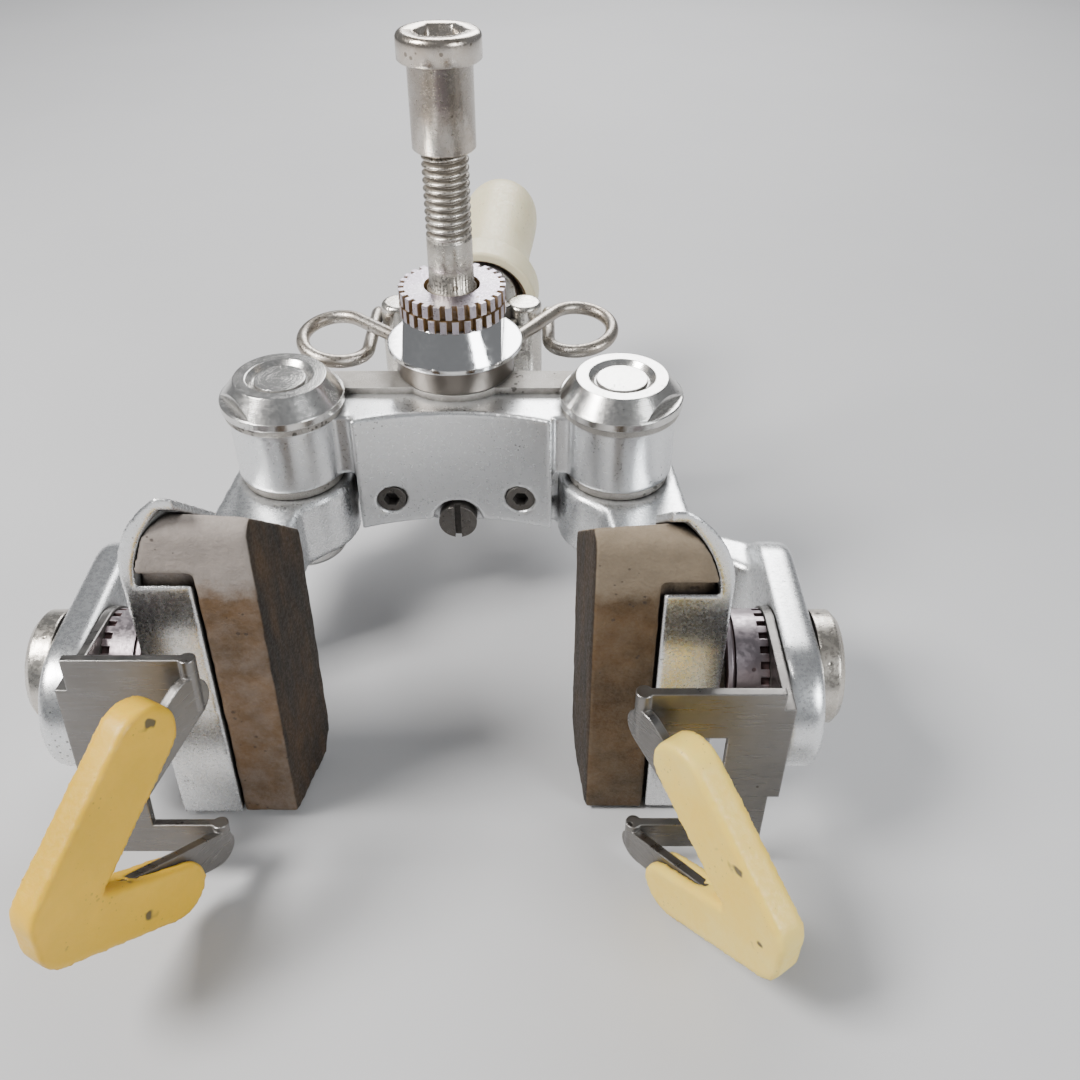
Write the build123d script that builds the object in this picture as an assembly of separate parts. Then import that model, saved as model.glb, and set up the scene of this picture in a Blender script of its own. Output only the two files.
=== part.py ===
"""Single-plane rim brake caliper with two side pivots, modelled in millimetres.

Frame: origin on the mounting bolt's axis, at the seat face of the serrated washer.
+Z runs out of the back of the caliper along the bolt, +X to the right and +Y
towards the cable side. The pads hang towards -Y. Every piece is one STEP file.
"""

from build123d import *
import math
import os

# ---- driving sizes: mounting stack -------------------------------------------------
BOLT_R = 3.0                # M6 mounting bolt, outside of the thread and plain shank
BOLT_SHOULDER_R = 3.3       # knurled shoulder inside the caliper
PLAIN_LENGTH = 6.5          # plain shank above the seat face
THREAD_TOP = 25.4           # end of the bolt above the seat face
THREAD_PITCH = 1.0
THREAD_DEPTH = 0.55
BOLT_HEAD_R = 5.0
BOLT_HEAD_HEIGHT = 4.0
NUT_BARREL_R = 3.95         # recessed nut
NUT_HEAD_R = 5.05
NUT_HEAD_HEIGHT = 3.2
NUT_TOP = 31.4
NUT_LENGTH = 13.5
SOCKET_FLATS = 5.0          # hexagon key sockets
SOCKET_DEPTH = 5.0
WASHER_R = 7.15             # serrated washer over the tips of its teeth
WASHER_BORE_R = 3.75
WASHER_THICKNESS = 3.7
WASHER_TEETH = 28
TOOTH_DEPTH = 0.75
CONE_TOP_R = 6.9            # centring nut
CONE_FLANGE_R = 9.2
CONE_HEIGHT = 4.3
CONE_RIM = 0.6
CONE_BASE_R = 8.05
CONE_BASE_HEIGHT = 3.65
CONE_FLATS = 13.2

# ---- driving sizes: bridge and pivots ----------------------------------------------
PIVOT_X = 22.5
PIVOT_Y = -9.0
PIVOT_R = 3.35
BOSS_R = 7.4                # bridge boss round each pivot
BOSS_HEIGHT = 9.4
ARM_BOSS_R = 8.4
ARM_THICKNESS = 9.6
THRUST_WASHER = 1.15
TIE_THICKNESS = 1.0
TIE_Y = (-6.0, -1.4)
PIVOT_NUT_R = 8.2
PIVOT_NUT_TOP_R = 6.05
PIVOT_NUT_HEIGHT = 3.6
PIVOT_NUT_RIM = 1.0
PIVOT_NUT_FLATS = 13.6
PIVOT_HEAD_R = 6.0
PIVOT_HEAD_HEIGHT = 3.0
BUSH_WALL = 1.2
BLOCK_HALF = 13.3
BLOCK_FRONT_Y = -13.2
BLOCK_HOLLOW = 2.5          # how far the near face dips in at the middle
BLOCK_DEPTH = 17.7
WALL_THICKNESS = 1.7
NOTCH_R = 3.4
GRUB_X = 9.0
GRUB_R = 2.0
GRUB_LENGTH = 2.6

# ---- driving sizes: arms, link and cable stop --------------------------------------
SWING_DEG = 12.0            # each arm's travel from open to the rim
END_INNER_X = 38.3          # inner face of the arm's slotted end
END_THICKNESS = 4.5
END_HALF_HEIGHT = 8.2
END_BELOW_STUD = 11.8       # arm end past the stud
END_ABOVE_STUD = 11.5       # and before it
SLOT_TRAVEL = 4.0           # pad height adjustment each way
LINK_Y = -5.6
LINK_PIN_R = 1.4
LINK_HALF = 2.8            # half width of each arm's tongue
LINK_SCREW_R = 1.1
LINK_HEAD_R = 2.7
POST_X = 9.3
POST_Y = 14.5
POST_R = 2.65
POST_TOP = -9.5
LEVER_HALF = 4.4
CLAMP_X = 5.6
CLAMP_Y = 13.3
CLAMP_R = 3.0
STOP_X = 2.6                # centre of the cable stop's open side
STOP_Y = 21.0
STOP_Z = -13.0
STOP_LEAN_X = 5.0           # lean of the adjuster's axis, in degrees
STOP_LEAN_Z = 6.5
SCREW_R = 3.3               # cable adjuster screw
CABLE_R = 0.95
HOUSING_R = 2.6
COVER_R = 8.6
COVER_LENGTH = 32.0
RING_LENGTH = 5.0

# ---- driving sizes: springs --------------------------------------------------------
WIRE_R = 0.95
COIL_R = 4.6
COIL_RISE = 2.9
COIL_Y = (8.6, 5.6)         # loop centres, right and left
LEG_Y = (1.2, 2.2)          # where each inner leg enters the centring nut
SPRING_TOP = -9.75

# ---- driving sizes: pads and guides ------------------------------------------------
REACH = 43.5                # bolt axis to pad stud
STUD_Z = -27.5
STUD_R = 3.0
PAD_FACE_X = (17.2, 17.8)   # near edge of the braking face, right and left
PAD_TILT = (6.5, 11.0)      # braking face's lean while the caliper is open
PAD_HEIGHT = 12.0
PAD_TOP_Z = -1.7
PAD_BOTTOM_Z = -45.9
PAD_CORNER = (1.9, 3.6)     # rounding of the nose's near and far corners
PAD_FOOT_BEVEL = 3.1
PAD_TOP_DROP = 1.3          # the block's nose falls towards the braking face
NOSE_SLOPE = 0.8            # the nose falls away this much per mm of height
LIP_X = 24.6                # free edge of the holder's lips
HOLDER_BACK_X = 31.7
HOLDER_WALL = 1.3
LIP_TOP_Z = -11.2
END_CURVE_X = 26.2
TOE_WASHER_R = 7.0
TOE_WASHER_THICKNESS = 2.5
PAD_NUT_R = 6.6
PAD_NUT_HEIGHT = 2.9
GUIDE_SHEET = 1.0
GUIDE_PAST_STUD = 13.5      # guide plate past the stud
GUIDE_BEND_X = (22.4, 24.2)  # right and left
GUIDE_OUTER_X = 37.0
GUIDE_TOP_Z = (-18.2, -16.7)
GUIDE_BOTTOM_Z = -43.6
GUIDE_FLARE_DEG = (54.0, 59.0)
GUIDE_LENGTH = 24.4
COATING_WALL = 1.15
LEFT_PITCH_DEG = -3.5       # the left pad stands a little nose-up
LEFT_GUIDE_PITCH_DEG = -8.0

# ---- clearances --------------------------------------------------------------------
RUNNING = 0.04              # radial, round turning shafts
SLIP = 0.15                 # between stacked faces that move
AIR = 0.5                   # between pieces that only pass each other

# ---- levels that follow from the sizes ---------------------------------------------
CONE_TOP_Z = -WASHER_THICKNESS
FLANGE_Z = CONE_TOP_Z - CONE_HEIGHT - CONE_RIM
TIE_TOP_Z = FLANGE_Z - CONE_BASE_HEIGHT
BRIDGE_TOP_Z = TIE_TOP_Z - TIE_THICKNESS
BOSS_BOTTOM_Z = BRIDGE_TOP_Z - BOSS_HEIGHT
ARM_TOP_Z = BOSS_BOTTOM_Z - THRUST_WASHER - 2 * 0.05
ARM_BOTTOM_Z = ARM_TOP_Z - ARM_THICKNESS
LAP_Z = (ARM_TOP_Z + ARM_BOTTOM_Z) / 2
BLOCK_BOTTOM_Z = BRIDGE_TOP_Z - BLOCK_DEPTH
CEILING_Z = ARM_TOP_Z + AIR
HEAD_TOP_Z = CEILING_Z + AIR + BOLT_HEAD_HEIGHT
PIVOT_NUT_TOP_Z = TIE_TOP_Z + PIVOT_NUT_HEIGHT
LIP_FACE_Y = -REACH - PAD_HEIGHT / 2
END_BOTTOM_Y = -REACH - END_BELOW_STUD
GUIDE_Y = -REACH - GUIDE_PAST_STUD
LINK_SCREW_Z = BLOCK_BOTTOM_Z - 0.4
ARM_MIDDLE_Z = STUD_Z - 1.0

LOW = (Align.CENTER, Align.CENTER, Align.MIN)
PIECES = {}


def keep(name, solid):
    """File a finished piece under the name a person would use."""
    PIECES[name] = solid


def rod(radius, bottom, top, x=0.0, y=0.0):
    """Upright cylinder between two heights."""
    return Pos(x, y, bottom) * Cylinder(radius, top - bottom, align=LOW)


def frustum(low_radius, high_radius, bottom, top, x=0.0, y=0.0):
    """Upright cone frustum between two heights."""
    return Pos(x, y, bottom) * Cone(low_radius, high_radius, top - bottom, align=LOW)


def rod_x(radius, start, end, y, z):
    """Cylinder along X."""
    return Pos(start, y, z) * Rot(0, 90, 0) * Cylinder(radius, end - start, align=LOW)


def rod_y(radius, start, end, x, z):
    """Cylinder along Y."""
    return Pos(x, start, z) * Rot(-90, 0, 0) * Cylinder(radius, end - start, align=LOW)


def block(x_span, y_span, z_span):
    """Box between three pairs of limits."""
    size = [high - low for low, high in (x_span, y_span, z_span)]
    return Pos(x_span[0], y_span[0], z_span[0]) * Box(*size, align=(Align.MIN,) * 3)


def key_socket(bottom, top, flats=SOCKET_FLATS, x=0.0, y=0.0):
    """Hexagonal hole for a key."""
    hexagon = RegularPolygon(flats / 2, 6, major_radius=False)
    return Pos(x, y, bottom) * extrude(hexagon, top - bottom)


def slab(outline, bottom, top):
    """Extrude a plan outline between two heights."""
    return Pos(0, 0, bottom) * extrude(outline, top - bottom)


def rounded_bar(start, end, half_width):
    """Plan outline of a bar with round ends."""
    middle = ((start[0] + end[0]) / 2, (start[1] + end[1]) / 2)
    run = math.dist(start, end)
    lean = math.degrees(math.atan2(end[1] - start[1], end[0] - start[0]))
    return Pos(*middle) * Rot(0, 0, lean) * SlotCenterToCenter(run, 2 * half_width)


def both_sides(name, right, left=None):
    """Keep a piece and its mirror image as NAME_right and NAME_left."""
    keep(name + "_right", right)
    keep(name + "_left", mirror(right, Plane.YZ) if left is None else left)


# ---- mounting stack ----------------------------------------------------------------
def mounting_bolt():
    """M6 bolt: head in the bridge, knurled shoulder, plain shank and thread."""
    bolt = rod(BOLT_HEAD_R, HEAD_TOP_Z - BOLT_HEAD_HEIGHT, HEAD_TOP_Z)
    bolt += rod(BOLT_SHOULDER_R, HEAD_TOP_Z, 0)
    turns = int((THREAD_TOP - PLAIN_LENGTH) / THREAD_PITCH)
    profile = [(0, 0), (BOLT_R, 0), (BOLT_R, PLAIN_LENGTH)]
    for turn in range(turns):
        foot = PLAIN_LENGTH + turn * THREAD_PITCH
        profile.append((BOLT_R - THREAD_DEPTH, foot + THREAD_PITCH * 0.5))
        profile.append((BOLT_R, foot + THREAD_PITCH * 0.9))
        profile.append((BOLT_R, foot + THREAD_PITCH))
    profile += [(BOLT_R - 0.6, THREAD_TOP), (0, THREAD_TOP)]
    outline = make_face(Plane.XZ * Polyline(*profile, close=True))
    bolt += revolve(outline, Axis.Z)
    bolt -= key_socket(HEAD_TOP_Z - BOLT_HEAD_HEIGHT, HEAD_TOP_Z - 1.5, flats=4.0)
    keep("mounting_bolt", bolt)


def recessed_nut():
    """Sleeve nut with a flanged, socketed head."""
    foot = NUT_TOP - NUT_LENGTH
    nut = rod(NUT_BARREL_R, foot, NUT_TOP) + rod(NUT_HEAD_R, NUT_TOP - NUT_HEAD_HEIGHT, NUT_TOP)
    nut = chamfer(nut.edges().filter_by(GeomType.CIRCLE).sort_by(Axis.Z)[-1], 0.45)
    nut -= rod(BOLT_R + RUNNING, foot, NUT_TOP - SOCKET_DEPTH)
    nut -= key_socket(NUT_TOP - SOCKET_DEPTH, NUT_TOP)
    keep("recessed_nut", nut)


def serrated_washer():
    """Two rows of square teeth, the lower row half a tooth round."""
    row = (WASHER_THICKNESS - 0.3) / 2
    core = rod(WASHER_R - TOOTH_DEPTH, -WASHER_THICKNESS, 0)
    pitch = 360.0 / WASHER_TEETH
    width = 2 * math.pi * WASHER_R / WASHER_TEETH * 0.52
    for level, offset in ((-row, 0.0), (-WASHER_THICKNESS, pitch / 2)):
        for tooth in range(WASHER_TEETH):
            bar = block((WASHER_R - 2 * TOOTH_DEPTH, WASHER_R), (-width / 2, width / 2), (level, level + row))
            core += Rot(0, 0, tooth * pitch + offset) * bar
    keep("serrated_washer", core - rod(WASHER_BORE_R, -WASHER_THICKNESS, 0))


def spring_layout(side):
    """Plan of one spring, drawn on the right: inner leg's mouth, loop centre, heading."""
    mouth = (CONE_BASE_R * 0.86, LEG_Y[side])
    centre = (POST_X + POST_R + WIRE_R + 0.05 + COIL_R, COIL_Y[side])
    away = math.dist(mouth, centre)
    to_centre = math.atan2(centre[1] - mouth[1], centre[0] - mouth[0])
    return mouth, centre, to_centre + math.asin(COIL_R / away)


def centring_nut():
    """Chromed cone with two spanner flats, a rim and a plain base ring."""
    cone = frustum(CONE_FLANGE_R, CONE_TOP_R, CONE_TOP_Z - CONE_HEIGHT, CONE_TOP_Z)
    for side in (-1, 1):
        edge = side * CONE_FLATS / 2
        far = side * (CONE_FLANGE_R + 1)
        reach_y = (-CONE_FLANGE_R, CONE_FLANGE_R)
        cone -= block((min(edge, far), max(edge, far)), reach_y, (CONE_TOP_Z - CONE_HEIGHT, CONE_TOP_Z))
    cone += rod(CONE_FLANGE_R, FLANGE_Z, FLANGE_Z + CONE_RIM)
    cone += rod(CONE_BASE_R, TIE_TOP_Z + 0.02, FLANGE_Z)
    cone -= rod(BOLT_SHOULDER_R + RUNNING, TIE_TOP_Z, 0)
    for side in (0, 1):
        (x, y), _, lean = spring_layout(side)
        start = Pos(x - 2.4 * math.cos(lean), y - 2.4 * math.sin(lean), SPRING_TOP)
        hole = start * Rot(0, 0, math.degrees(lean)) * rod_x(WIRE_R + 0.12, 0, CONE_BASE_R, 0, 0)
        cone -= mirror(hole, Plane.YZ) if side else hole
    keep("centring_nut", cone)


def tie_plate():
    """Stamped strap under the centring nut and both pivot nuts."""
    plate = Circle(CONE_BASE_R + 0.1)
    for side in (-1, 1):
        plate += Pos(side * PIVOT_X, PIVOT_Y) * Circle(PIVOT_NUT_R - 0.3)
    bar = Pos(0, sum(TIE_Y) / 2) * Rectangle(2 * PIVOT_X, TIE_Y[1] - TIE_Y[0])
    plate += bar
    plate -= Circle(BOLT_SHOULDER_R + RUNNING)
    for side in (-1, 1):
        plate -= Pos(side * PIVOT_X, PIVOT_Y) * Circle(PIVOT_R + RUNNING)
    keep("tie_plate", slab(plate, BRIDGE_TOP_Z, TIE_TOP_Z))


# ---- bridge and pivots -------------------------------------------------------------
def near_face(depth):
    """Plan outline of the hollow near face, thickened away from the pads."""
    ends = BLOCK_FRONT_Y
    front = ThreePointArc((-BLOCK_HALF, ends), (0, ends + BLOCK_HOLLOW), (BLOCK_HALF, ends))
    back = Polyline((BLOCK_HALF, ends), (BLOCK_HALF, ends + depth), (-BLOCK_HALF, ends + depth), (-BLOCK_HALF, ends))
    return make_face(front + back)


def stop_frame():
    """Frame of the cable adjuster: its Z axis is the adjuster's own axis."""
    return Pos(STOP_X, STOP_Y, STOP_Z) * Rot(0, 0, -STOP_LEAN_X) * Rot(STOP_LEAN_Z, 0, 0) * Rot(-90, 0, 0)


def bridge():
    """Forged body: two pivot bosses, central block, near wall and cable stop."""
    body = slab(near_face(11.8), CEILING_Z, BRIDGE_TOP_Z)
    body += slab(near_face(BLOCK_HOLLOW + WALL_THICKNESS), BLOCK_BOTTOM_Z, CEILING_Z)
    body += slab(Pos(0, 2.2) * Rectangle(15.0, 11.0), CEILING_Z, BRIDGE_TOP_Z)
    for side in (-1, 1):
        body += rod(BOSS_R, BOSS_BOTTOM_Z, BRIDGE_TOP_Z, side * PIVOT_X, PIVOT_Y)
        inner, outer = sorted((side * (BLOCK_HALF - 1), side * PIVOT_X))
        body += block((inner, outer), (BLOCK_FRONT_Y + 1.2, TIE_Y[1]), (BOSS_BOTTOM_Z + 0.4, BRIDGE_TOP_Z))
    lug = block((STOP_X - 6.6, STOP_X - 1.0), (7.0, STOP_Y - 0.7), (CEILING_Z + 1.0, BRIDGE_TOP_Z - 0.6))
    lug += block((STOP_X - 4.4, STOP_X - 1.0), (STOP_Y - 2, STOP_Y + 5), (STOP_Z - 3.9, BRIDGE_TOP_Z - 0.6))
    eye = stop_frame() * Pos(0, 0, 2.0) * Cylinder(COVER_R - 3.2, 4.4, align=LOW)
    body += lug + eye
    body -= stop_frame() * Cylinder(SCREW_R + RUNNING, 40)
    for side in (-1, 1):
        body -= rod(PIVOT_R + RUNNING, BOSS_BOTTOM_Z, BRIDGE_TOP_Z, side * PIVOT_X, PIVOT_Y)
        hole = rod_y(GRUB_R + 0.02, BLOCK_FRONT_Y - 1, BLOCK_FRONT_Y + 8, side * GRUB_X, BLOCK_BOTTOM_Z + 4.2)
        sink = Pos(side * GRUB_X, BLOCK_FRONT_Y, BLOCK_BOTTOM_Z + 4.2) * Rot(90, 0, 0)
        body -= hole + sink * Cone(GRUB_R - 0.4, GRUB_R + 0.9, 2.6)
    body -= rod(BOLT_SHOULDER_R + 0.02, CEILING_Z, BRIDGE_TOP_Z)
    body -= rod(BOLT_HEAD_R + 0.02, CEILING_Z, HEAD_TOP_Z)
    body -= rod_y(NOTCH_R, BLOCK_FRONT_Y - 1, BLOCK_FRONT_Y + 8, 0, BLOCK_BOTTOM_Z - 0.2)
    keep("bridge", body)


def grub_screws():
    """Two socketed grub screws in the near wall."""
    pair = []
    start = BLOCK_FRONT_Y + BLOCK_HOLLOW * 0.6
    for side in (-1, 1):
        screw = rod_y(GRUB_R, start, start + GRUB_LENGTH, side * GRUB_X, BLOCK_BOTTOM_Z + 4.2)
        key = Pos(side * GRUB_X, start, BLOCK_BOTTOM_Z + 4.2) * Rot(-90, 0, 0) * key_socket(0, 1.6, flats=2.0)
        pair.append(screw - key)
    keep("grub_screws", Compound(children=pair))


def pivots():
    """Pivot bolts, conical nuts, thrust washers and bushes, right then left."""
    head_z = ARM_BOTTOM_Z - SLIP
    end_z = PIVOT_NUT_TOP_Z - 0.35
    bolt = rod(PIVOT_HEAD_R, head_z - PIVOT_HEAD_HEIGHT, head_z, PIVOT_X, PIVOT_Y)
    bolt = fillet(bolt.edges().sort_by(Axis.Z)[0], 0.8)
    bolt += rod(PIVOT_R, head_z, end_z, PIVOT_X, PIVOT_Y)
    bolt -= key_socket(head_z - PIVOT_HEAD_HEIGHT, head_z - 0.6, x=PIVOT_X, y=PIVOT_Y)
    both_sides("pivot_bolt", bolt)

    rim_z = TIE_TOP_Z + PIVOT_NUT_RIM
    nut = rod(PIVOT_NUT_R, TIE_TOP_Z, rim_z, PIVOT_X, PIVOT_Y)
    nut += frustum(PIVOT_NUT_R - 0.05, PIVOT_NUT_TOP_R, rim_z, PIVOT_NUT_TOP_Z, PIVOT_X, PIVOT_Y)
    turn = Pos(PIVOT_X, PIVOT_Y, rim_z + 0.15) * Rot(0, 0, -38)
    for side in (-1, 1):
        near, far = sorted((side * PIVOT_NUT_FLATS / 2, side * (PIVOT_NUT_R + 1)))
        nut -= turn * block((near, far), (-PIVOT_NUT_R, PIVOT_NUT_R), (0, PIVOT_NUT_HEIGHT))
    nut -= rod(PIVOT_R + 0.02, TIE_TOP_Z, PIVOT_NUT_TOP_Z, PIVOT_X, PIVOT_Y)
    nut -= frustum(PIVOT_R + 0.3, PIVOT_R + 1.1, PIVOT_NUT_TOP_Z - 0.8, PIVOT_NUT_TOP_Z, PIVOT_X, PIVOT_Y)
    both_sides("pivot_nut", nut)

    top = BOSS_BOTTOM_Z - 0.05
    washer = rod(BOSS_R - 0.5, top - THRUST_WASHER, top, PIVOT_X, PIVOT_Y)
    both_sides("thrust_washer", washer - rod(PIVOT_R + RUNNING, top - THRUST_WASHER, top, PIVOT_X, PIVOT_Y))

    bush = rod(PIVOT_R + RUNNING + BUSH_WALL, ARM_BOTTOM_Z, ARM_TOP_Z, PIVOT_X, PIVOT_Y)
    both_sides("pivot_bush", bush - rod(PIVOT_R + RUNNING, ARM_BOTTOM_Z, ARM_TOP_Z, PIVOT_X, PIVOT_Y))


# ---- arms --------------------------------------------------------------------------
def outer_limb():
    """Right arm's limb: out from the boss, then down to the slotted end."""
    outside = END_INNER_X + END_THICKNESS
    shoulder = (PIVOT_X + 9.5, PIVOT_Y - 11.0)
    corner = (outside, -REACH + END_ABOVE_STUD)
    foot_y, inside_y = -REACH - 2.5, -REACH + END_ABOVE_STUD - 1.5
    heel = (PIVOT_X - 1.9, PIVOT_Y - 13.3)
    outer = Line((PIVOT_X + ARM_BOSS_R, PIVOT_Y), shoulder)
    outer += Spline(shoulder, (38.0, -24.2), corner, tangents=((0.25, -1.0), (0.0, -1.0)))
    outer += Polyline(corner, (outside, foot_y), (END_INNER_X, foot_y), (END_INNER_X, inside_y))
    outer += Spline((END_INNER_X, inside_y), (30.4, -27.0), heel, tangents=((0.0, 1.0), (-1.0, 0.35)))
    outer += Polyline(heel, (PIVOT_X - 2.4, PIVOT_Y - 9.2), (PIVOT_X - 6.6, PIVOT_Y - 5.0),
                      (PIVOT_X, PIVOT_Y), (PIVOT_X + ARM_BOSS_R, PIVOT_Y))
    return slab(make_face(outer), ARM_BOTTOM_Z, ARM_TOP_Z)


def slotted_end():
    """Flat oval end of the right arm, upright, with its adjusting slot."""
    top_y = -REACH + END_ABOVE_STUD
    centre_y = END_BOTTOM_Y + END_HALF_HEIGHT
    face = Plane.YZ.offset(END_INNER_X)
    length = top_y - centre_y
    oval = face * Pos((top_y + centre_y) / 2, ARM_MIDDLE_Z) * SlotCenterToCenter(length, 2 * END_HALF_HEIGHT)
    end = extrude(oval, END_THICKNESS)
    end = fillet(end.edges().filter_by(Plane.YZ).group_by(Axis.X)[-1], 1.2)
    return end


def pad_slot():
    """Slot that the pad stud slides in, right side."""
    face = Plane.YZ.offset(END_INNER_X - 8)
    oval = face * Pos(-REACH, STUD_Z) * SlotCenterToCenter(2 * SLOT_TRAVEL + 0.6, 2 * (STUD_R + 0.15))
    return extrude(oval, 8 + END_THICKNESS + 4)


def arm_blank(post):
    """Right-hand arm without its link tongue: limb, boss, end and inner lever."""
    arm = outer_limb() + rod(ARM_BOSS_R, ARM_BOTTOM_Z, ARM_TOP_Z, PIVOT_X, PIVOT_Y)
    arm += slotted_end()
    lever = rounded_bar((PIVOT_X, PIVOT_Y), post, LEVER_HALF)
    arm += slab(lever, ARM_BOTTOM_Z + 0.3, ARM_TOP_Z - 0.2)
    return arm


def finish_arm(arm, post):
    """Cut the bush seat, the pad slot and the post's seat."""
    arm -= rod(PIVOT_R + RUNNING + BUSH_WALL + 0.02, ARM_BOTTOM_Z, ARM_TOP_Z, PIVOT_X, PIVOT_Y)
    arm -= pad_slot()
    arm -= rod(POST_R + 0.02, ARM_BOTTOM_Z + 2.5, ARM_TOP_Z, *post)
    return arm


def link_slot_end():
    """Where the link pin ends up in the right tongue once both arms have closed."""
    swing = math.radians(SWING_DEG)
    reach_x, rise = PIVOT_X, LINK_Y - PIVOT_Y
    pin_x = -PIVOT_X + reach_x * math.cos(swing) - rise * math.sin(swing)
    pin_y = reach_x * math.sin(swing) + rise * math.cos(swing)
    back_x = (pin_x - PIVOT_X) * math.cos(swing) - pin_y * math.sin(swing)
    back_y = (pin_x - PIVOT_X) * math.sin(swing) + pin_y * math.cos(swing)
    return (PIVOT_X + back_x - 0.2, PIVOT_Y + back_y)


def arms():
    """Both arms. Their tongues lap at the middle and share the link pin."""
    post = (POST_X, POST_Y)
    upper = (LAP_Z + SLIP / 2, ARM_TOP_Z - 0.2)
    lower = (ARM_BOTTOM_Z + 0.3, LAP_Z - SLIP / 2)
    root = (PIVOT_X - 3, LINK_Y)
    slot_end = link_slot_end()

    right = arm_blank(post) + slab(rounded_bar(root, (slot_end[0], LINK_Y), LINK_HALF), *lower)
    right += slab(rounded_bar(post, (CLAMP_X, CLAMP_Y), CLAMP_R), ARM_BOTTOM_Z + 0.3, ARM_TOP_Z - 0.2)
    right -= slab(rounded_bar((0.2, LINK_Y), slot_end, LINK_PIN_R + 0.25), *lower)
    right -= rod_y(LINK_SCREW_R + 0.02, LINK_Y - LINK_HALF - 1, LINK_Y - LINK_PIN_R, 0, LINK_SCREW_Z)
    right = finish_arm(right, post)
    keep("right_arm", right)

    left = finish_arm(arm_blank(post) + slab(rounded_bar(root, (0, LINK_Y), LINK_HALF), *upper), post)
    left -= slab(Pos(0, LINK_Y) * Circle(LINK_PIN_R + 0.01), *upper)
    keep("left_arm", mirror(left, Plane.YZ))
    keep("link_pin", rod(LINK_PIN_R, lower[0] + 0.2, upper[1] - 0.1, 0, LINK_Y))


def posts():
    """Spring posts pressed into the inner levers; the right one clamps the cable."""
    foot = ARM_BOTTOM_Z + 2.5
    post = rod(POST_R, foot, POST_TOP, POST_X, POST_Y)
    post = fillet(post.edges().filter_by(GeomType.CIRCLE).sort_by(Axis.Z)[-1], 0.7)
    keep("spring_post_left", mirror(post, Plane.YZ))
    clamp_top = POST_TOP - 2.6
    tower = slab(rounded_bar((POST_X, POST_Y), (CLAMP_X, CLAMP_Y), CLAMP_R - 0.4), ARM_TOP_Z + 0.02, clamp_top)
    tower -= rod(1.6, clamp_top - 6, clamp_top, CLAMP_X, CLAMP_Y)
    keep("cable_post_right", post + tower)
    washer = rod(CLAMP_R, clamp_top + 0.02, clamp_top + 0.9, CLAMP_X, CLAMP_Y)
    keep("cable_clamp_washer", washer - post_relief() - rod(1.62, clamp_top, clamp_top + 1, CLAMP_X, CLAMP_Y))
    screw = rod(1.58, clamp_top - 5.8, clamp_top + 0.92, CLAMP_X, CLAMP_Y)
    head = rod(2.1, clamp_top + 0.92, clamp_top + 3.0, CLAMP_X, CLAMP_Y)
    head = fillet(head.edges().filter_by(GeomType.CIRCLE).sort_by(Axis.Z)[-1], 0.3)
    screw += head
    screw -= key_socket(clamp_top + 1.6, clamp_top + 3.0, flats=2.0, x=CLAMP_X, y=CLAMP_Y)
    keep("cable_clamp_screw", screw - post_relief())


def post_relief():
    """Room round the spring post for what sits beside it."""
    return rod(POST_R + 0.05, ARM_TOP_Z, 0, POST_X, POST_Y)


def link_screw():
    """Slotted screw in the right arm's tongue, seen through the near wall's notch."""
    face_y = BLOCK_FRONT_Y + BLOCK_HOLLOW - 0.3
    back_y = LINK_Y - LINK_HALF - 0.7
    screw = rod_y(LINK_HEAD_R, face_y, back_y, 0, LINK_SCREW_Z)
    screw -= block((-0.45, 0.45), (face_y, face_y + 0.8), (LINK_SCREW_Z - 3, LINK_SCREW_Z + 3))
    keep("link_screw", screw + rod_y(LINK_SCREW_R, back_y, LINK_Y - LINK_PIN_R - 0.6, 0, LINK_SCREW_Z))


# ---- springs -----------------------------------------------------------------------
def spring(side):
    """One loop of wire, drawn on the right: inner leg, loop and outer leg."""
    mouth, centre, lean = spring_layout(side)
    start = lean + math.pi / 2
    sweep_angle = start + math.pi
    steps = 12
    corner = COIL_R / math.cos(sweep_angle / steps / 2)
    points = [(*mouth, SPRING_TOP)]
    for step in range(steps):
        angle = start - sweep_angle * (step + 0.5) / steps
        level = SPRING_TOP - COIL_RISE * (step + 0.5) / steps
        points.append((centre[0] + corner * math.cos(angle), centre[1] + corner * math.sin(angle), level))
    points.append((centre[0] - COIL_R, POST_Y + 3.2, SPRING_TOP - COIL_RISE))
    path = FilletPolyline(*points, radius=COIL_R * 0.8)
    wire = Wire(path.edges())
    ring = Plane(origin=wire @ 0, z_dir=wire % 0) * Circle(WIRE_R)
    return sweep(ring, path=wire)


def springs():
    """Both return springs: inner leg in the centring nut, outer leg on a post."""
    both_sides("return_spring", spring(0), mirror(spring(1), Plane.YZ))


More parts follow.
